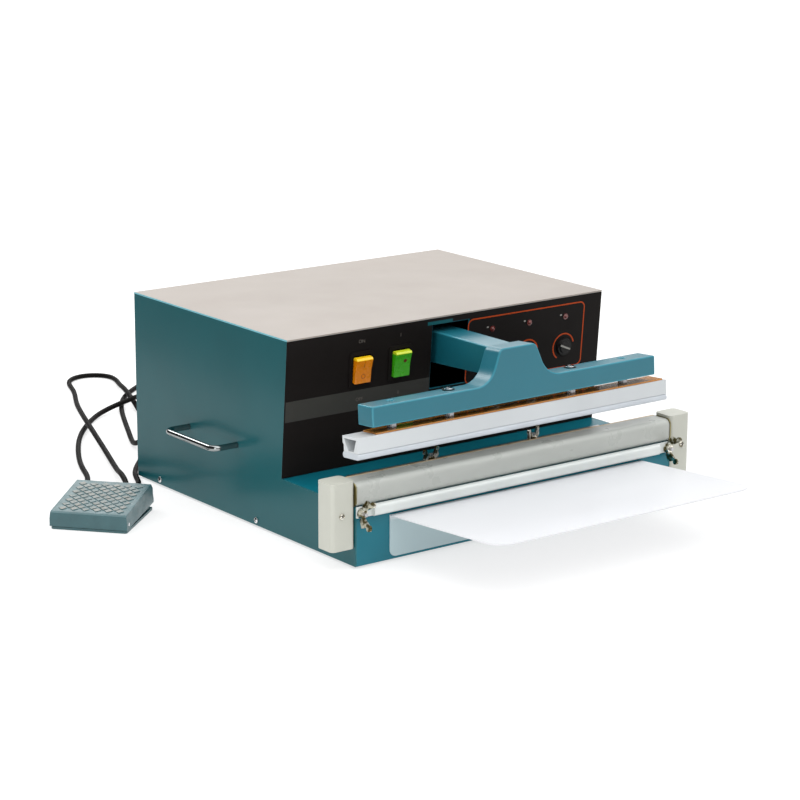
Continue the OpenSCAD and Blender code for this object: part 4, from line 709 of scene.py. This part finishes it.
def print_labels():
    """Plain switch labels over and under the rockers."""
    bm = bmesh.new()
    for x, over, under in ((POWER_X, "ON", "OFF"), (MODE_X, "I", "II")):
        for text, z in ((over, LABEL_HIGH), (under, LABEL_LOW)):
            lettering(bm, text, LABEL_SIZE, x, up_panel(z), INK_LOW, INK_OVER, PANEL)
    piece("switch_labels", bm, "dim_print", "base")


print_field("grey_field", BAND, "grey_print")
print_field("slot_strip", TOP_STRIP, "teal")
print_orange()
print_pale()
print_labels()


# Marks on the rockers and the knobs
MARK_LOW = -0.05 * MM
MARK_TOP = 0.08 * MM
POWER_BAR = 3 * MM
POWER_RING_R = 2.8 * MM
POWER_HALF = 0.6 * MM
DOT_R = 2.4 * MM
DOT_TOP = 3 * MARK_TOP
DOT_PLACE = (3.5 * MM, -3 * MM, 0)
POINTER_FROM = -8.2 * MM
POINTER_TO = 10.2 * MM
POINTER_HALF = 1.2 * MM


def rocker_face(x, upper):
    """Frame in the middle of a half of a rocker's dished face."""
    way = 1 if upper else -1
    tilt = math.atan(ROCKER_DISH / ROCKER_HALF) * way
    y = ROCKER_HALF / 2 * way
    return (PANEL @ Matrix.Translation((x, up_panel(ROCKER_Z), ROCKER_AXLE))
            @ Matrix.Rotation(ROCKER_LEAN, 4, "X")
            @ Matrix.Translation((0, y, ROCKER_FRONT - ROCKER_DISH / 2 - ROCKER_AXLE))
            @ Matrix.Rotation(tilt, 4, "X"))


def disc(bm, radius, low, high, place, sides=20):
    turn = Matrix.Translation((0, 0, (low + high) / 2))
    bmesh.ops.create_cone(bm, cap_ends=True, segments=sides, radius1=radius, radius2=radius,
                          depth=high - low, matrix=place @ turn)


def mark_power_rocker():
    bm = bmesh.new()
    bar = [(0, -POWER_BAR), (0, POWER_BAR)]
    strip(bm, bar, POWER_HALF, MARK_LOW, MARK_TOP, rocker_face(POWER_X, True))
    circle = ring(POWER_RING_R, 24)
    strip(bm, circle, POWER_HALF, MARK_LOW, MARK_TOP, rocker_face(POWER_X, False), closed=True)
    piece("power_marks", bm, "rocker_mark", "power_rocker")


def mark_mode_rocker():
    bm = bmesh.new()
    place = rocker_face(MODE_X, True) @ Matrix.Translation(DOT_PLACE)
    disc(bm, DOT_R, MARK_LOW, DOT_TOP, place)
    piece("mode_dot", bm, "rocker_dot", "mode_rocker")


def point_knob(name, x):
    """Light pointer along the ridge of a knob."""
    bm = bmesh.new()
    middle = PANEL @ Matrix.Translation((x, up_panel(KNOB_Z), KNOB_FRONT))
    place = middle @ Matrix.Rotation(KNOB_TURN, 4, "Z")
    strip(bm, [(POINTER_FROM, 0), (POINTER_TO, 0)], POINTER_HALF, MARK_LOW, MARK_TOP, place)
    piece(name + "_pointer", bm, "pale_print", name)


mark_power_rocker()
mark_mode_rocker()
for knob_name, knob_x in KNOBS.items():
    point_knob(knob_name, knob_x)


# Dark crosses on the screws' heads: painted shade of their cross recesses
SCREW_DOME = 2.6 * MM
CASE_HEAD_R = 8 * MM
BLOCK_HEAD_R = 7 * MM
CROSS_REACH = 2.4 * MM
CROSS_HALF = 0.5 * MM
CROSS_LOW = -0.2 * MM
CROSS_TOP = 0.03 * MM
CROSS_STEPS = 3
SIDE_SCREW_YS = (195 * MM, -38 * MM)
SCREW_Z = 10 * MM
REAR_SCREW_X = 198 * MM
REAR_SCREW_ZS = (10 * MM, 251 * MM)
BLOCK_SCREW = (280.3 * MM, FRONT_Y, 71 * MM)
TRAY_SCREW = (70 * MM, FRONT_Y - 1.5 * MM, 33.5 * MM)


def screw_places():
    """Place, outward direction and radius of each screw's domed head."""
    for s in (-1, 1):
        for y in SIDE_SCREW_YS:
            yield (s * SIDE_X, y, SCREW_Z), (s, 0, 0), CASE_HEAD_R
        for z in REAR_SCREW_ZS:
            yield (s * REAR_SCREW_X, REAR_Y, z), (0, 1, 0), CASE_HEAD_R
        for (x, y, z), r in ((BLOCK_SCREW, BLOCK_HEAD_R), (TRAY_SCREW, CASE_HEAD_R)):
            yield (s * x, y, z), (0, -1, 0), r


def shade_crosses():
    bm = bmesh.new()
    for place, outward, r in screw_places():
        turn = Vector(outward).to_track_quat("Z", "Y").to_matrix().to_4x4()
        for quarter in (45, 135):
            at = Matrix.Translation(place) @ turn @ Matrix.Rotation(math.radians(quarter), 4, "Z")
            steps = [CROSS_REACH * k / CROSS_STEPS for k in range(-CROSS_STEPS, CROSS_STEPS + 1)]
            line = [(d, 0, SCREW_DOME - r + math.sqrt(r * r - d * d)) for d in steps]
            strip(bm, line, CROSS_HALF, CROSS_LOW, CROSS_TOP, at)
    piece("screw_recess_shade", bm, "recess", "base")


shade_crosses()


# Dark rings round the two bolts on the beam, painted shade of the gaps round their heads, and plates at the
# lower jaw's ends
SHADE_RING_R = 8.2 * MM
SHADE_RING_HALF = 0.8 * MM
SHADE_RING_T = 1.0 * MM
JAW_D = 33 * MM
JAW_H = 30 * MM
JAW_ROUND = 8 * MM
PLATE_X = 258.4 * MM
PLATE_T = 1.2 * MM
PLATE_PROUD = 1.0 * MM


def make_bolt_shade_rings():
    bm = bmesh.new()
    for x in (-BOLT_X, BOLT_X):
        place = OPENED @ Matrix.Translation((x, JAW_MID, BEAM_TOP))
        circle = ring(SHADE_RING_R - SHADE_RING_HALF, 32)
        strip(bm, circle, SHADE_RING_HALF, MARK_LOW, SHADE_RING_T, place, closed=True)
    piece("bolt_shade_rings", bm, "bolt_shade", "arm")


def make_end_plates():
    """Thin plate between each end of the lower jaw and its end block."""
    bm = bmesh.new()
    top = LEDGE_Z + JAW_H + PLATE_PROUD
    outline = round_rect(FRONT_Y - PLATE_PROUD, LEDGE_Z, FRONT_Y + JAW_D, top, JAW_ROUND)
    for s in (-1, 1):
        near, far = ([bm.verts.new((s * x, y, z)) for y, z in outline] for x in (PLATE_X, PLATE_X + PLATE_T))
        for k in range(len(outline)):
            bm.faces.new((near[k - 1], near[k], far[k], far[k - 1]))
        bm.faces.new(near)
        bm.faces.new(far)
    piece("end_plates", bm, "plate", "base")


make_bolt_shade_rings()
make_end_plates()


# Coated cloth stretched over the lower jaw, front edge under the clamp bar; SHEET_FOOT is in degrees round
# the jaw's lower front edge, and the waves' numbers are in radians per metre across and along the cloth
SHEET_W = 516 * MM
SHEET_T = 0.3 * MM
SHEET_LIFT = 0.225 * MM
SHEET_FOOT = 249.4
SHEET_TAIL = 16 * MM
SHEET_COLUMNS = 172
WAVE_FRONT = 0.28 * MM
WAVE_TOP = 0.10 * MM
PULLS = ((61, 55), (143, -90))
PULL_SHARE = 0.2
CREASES = (210, 260)
CREASE_GROUPS = (57, 1.3)
CREASE_SHARE = 0.8
CREASE_START = -0.10
CREASE_RUN = 0.10


def sheet_profile():
    """Points (y, z) of the cloth's section from the jaw's lower front edge over its top to the rear."""
    r = JAW_ROUND + SHEET_LIFT
    low = arc(JAW_ROUND, JAW_ROUND, r, SHEET_FOOT, 180, 8)
    high = arc(JAW_ROUND, JAW_H - JAW_ROUND, r, 180, 90, 8)
    rise = [(low[-1][0], low[-1][1] + (high[0][1] - low[-1][1]) * k / 6) for k in range(1, 6)]
    rear = arc(JAW_D, JAW_H, SHEET_LIFT, 90, 0, 3)
    run = [(high[-1][0] + (rear[0][0] - high[-1][0]) * k / 10, high[-1][1]) for k in range(1, 10)]
    tail = [(rear[-1][0], rear[-1][1] + (SHEET_TAIL - rear[-1][1]) * k / 4) for k in range(1, 5)]
    return [Vector((FRONT_Y + y, LEDGE_Z + z)) for y, z in low + rise + high + run + rear + tail]


def ripple(x, along_sheet):
    """Unevenness from 0 to 1: long faint pulls, and slanting creases towards the left end."""
    pulls = 0.5 + sum(0.25 * math.sin(x * across + along_sheet * down) for across, down in PULLS)
    left = max(0.0, min(1.0, (CREASE_START - x) / CREASE_RUN))
    slant = math.sin(x * CREASES[0] + along_sheet * CREASES[1])
    creases = max(0.0, slant * math.sin(x * CREASE_GROUPS[0] + CREASE_GROUPS[1]))
    return min(1.0, PULL_SHARE * pulls + left * CREASE_SHARE * creases)


def make_sheet():
    profile = sheet_profile()
    reach = [0.0]
    for a, b in zip(profile, profile[1:]):
        reach.append(reach[-1] + (b - a).length)
    length = reach[-1]
    top_z = LEDGE_Z + JAW_H
    bm = bmesh.new()
    rows = []
    for i, p in enumerate(profile):
        a, b = profile[max(i - 1, 0)], profile[min(i + 1, len(profile) - 1)]
        run = (b - a).normalized()
        out = Vector((-run.y, run.x))
        amount = WAVE_TOP if p.y > top_z else WAVE_FRONT
        ease = math.sin(math.pi * reach[i] / length)
        row = []
        for c in range(SHEET_COLUMNS + 1):
            x = SHEET_W * (c / SHEET_COLUMNS - 0.5)
            q = p + out * (amount * ease * ripple(x, reach[i]))
            row.append(bm.verts.new((x, q.x, q.y)))
        rows.append(row)
    for a, b in zip(rows, rows[1:]):
        for k in range(SHEET_COLUMNS):
            bm.faces.new((a[k], a[k + 1], b[k + 1], b[k]))
    sheet = piece("coated_sheet", bm, "cloth", "base")
    sheet.data.polygons.foreach_set("use_smooth", [True] * len(sheet.data.polygons))
    thick = sheet.modifiers.new("thickness", "SOLIDIFY")
    thick.thickness = SHEET_T
    thick.offset = 0
    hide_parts("ptfe_cover")


make_sheet()


# Floor and light
FLOOR_COLOR = (0.4, 0.4, 0.4, 1)
FLOOR_GLOW = 0.62
FLOOR_REACH = 20
FLAG_COLOR = (0.02, 0.02, 0.02, 1)
FLAG_X = -0.66
FLAG_YS = (-0.3, 1.7)
FLAG_TOP = 1.2
HORIZON = 0.05
OVERHEAD = 0.7


def make_floor():
    mat, tree, bsdf = shader("pale_floor", FLOOR_COLOR, 0.8)
    mottle(tree, bsdf, FLOOR_COLOR, 0.004, 1)
    bsdf.inputs["Specular IOR Level"].default_value = 0.0
    bsdf.inputs["Emission Color"].default_value = (1, 1, 1, 1)
    bsdf.inputs["Emission Strength"].default_value = FLOOR_GLOW
    mesh = bpy.data.meshes.new("floor")
    s = FLOOR_REACH
    mesh.from_pydata([(-s, -s, 0), (s, -s, 0), (s, s, 0), (-s, s, 0)], [], [(0, 1, 2, 3)])
    mesh.materials.append(mat)
    link(bpy.data.objects.new("floor", mesh))


def make_flag():
    """Dark card left of the housing, seen only as a reflection in glossy pieces."""
    mesh = bpy.data.meshes.new("flag")
    x, top = FLAG_X, FLAG_TOP
    y0, y1 = FLAG_YS
    mesh.from_pydata([(x, y0, 0), (x, y1, 0), (x, y1, top), (x, y0, top)], [], [(0, 1, 2, 3)])
    mesh.materials.append(shader("flag", FLAG_COLOR, 0.9)[0])
    flag = link(bpy.data.objects.new("flag", mesh))
    flag.visible_camera = False
    flag.visible_diffuse = False
    flag.visible_shadow = False
    flag.visible_transmission = False


def make_world(low, high, seen):
    """Studio surroundings: dim near the horizon, bright overhead, and plain pale where seen directly."""
    world = bpy.data.worlds.new("studio")
    world.use_nodes = True
    tree = world.node_tree
    back = tree.nodes["Background"]
    coords = add(tree, "ShaderNodeTexCoord")
    split = add(tree, "ShaderNodeSeparateXYZ")
    tree.links.new(coords.outputs["Generated"], split.inputs["Vector"])
    level = remap(tree, split.outputs["Z"], HORIZON, OVERHEAD, low, high)
    tree.links.new(level, back.inputs["Strength"])
    back.inputs["Color"].default_value = (1, 1, 1, 1)
    plain = add(tree, "ShaderNodeBackground", Strength=seen)
    plain.inputs["Color"].default_value = (1, 1, 1, 1)
    mix = add(tree, "ShaderNodeMixShader")
    tree.links.new(add(tree, "ShaderNodeLightPath").outputs["Is Camera Ray"], mix.inputs["Fac"])
    tree.links.new(back.outputs["Background"], mix.inputs[1])
    tree.links.new(plain.outputs["Background"], mix.inputs[2])
    tree.links.new(mix.outputs["Shader"], tree.nodes["World Output"].inputs["Surface"])
    bpy.context.scene.world = world


def lamp(name, kind, place, aim, energy, size, size_y=None):
    """Light at a place, aimed at a point; size is a width, or the angle of a sun."""
    data = bpy.data.lights.new(name, kind)
    data.energy = energy
    if kind == "AREA":
        data.shape = "RECTANGLE"
        data.size = size
        data.size_y = size_y or size
    else:
        data.angle = size
    obj = link(bpy.data.objects.new(name, data))
    obj.location = place
    obj.rotation_euler = (Vector(aim) - Vector(place)).to_track_quat("-Z", "Y").to_euler()


make_floor()
make_flag()
make_world(low=0.08, high=1.3, seen=0.97)
lamp("sun", "SUN", place=(0.5, -0.9, 3.0), aim=(0, 0, 0), energy=1.0, size=math.radians(80))
lamp("softbox", "AREA", place=(-0.3, -1.8, 2.0), aim=(0, 0, 0.1), energy=6, size=1.6)
lamp("kicker", "AREA", place=(-0.62, -0.42, 0.06), aim=(-0.26, -0.2, 0.07), energy=0.45, size=0.2)
lamp("back_right", "AREA", place=(1.3, 2.1, 1.3), aim=(0, 0, 0.1), energy=10, size=1.8, size_y=0.8)
lamp("back_left", "AREA", place=(-0.7, 2.3, 2.0), aim=(0, 0, 0.1), energy=22, size=1.2, size_y=0.8)
bpy.context.scene.view_settings.view_transform = "Standard"
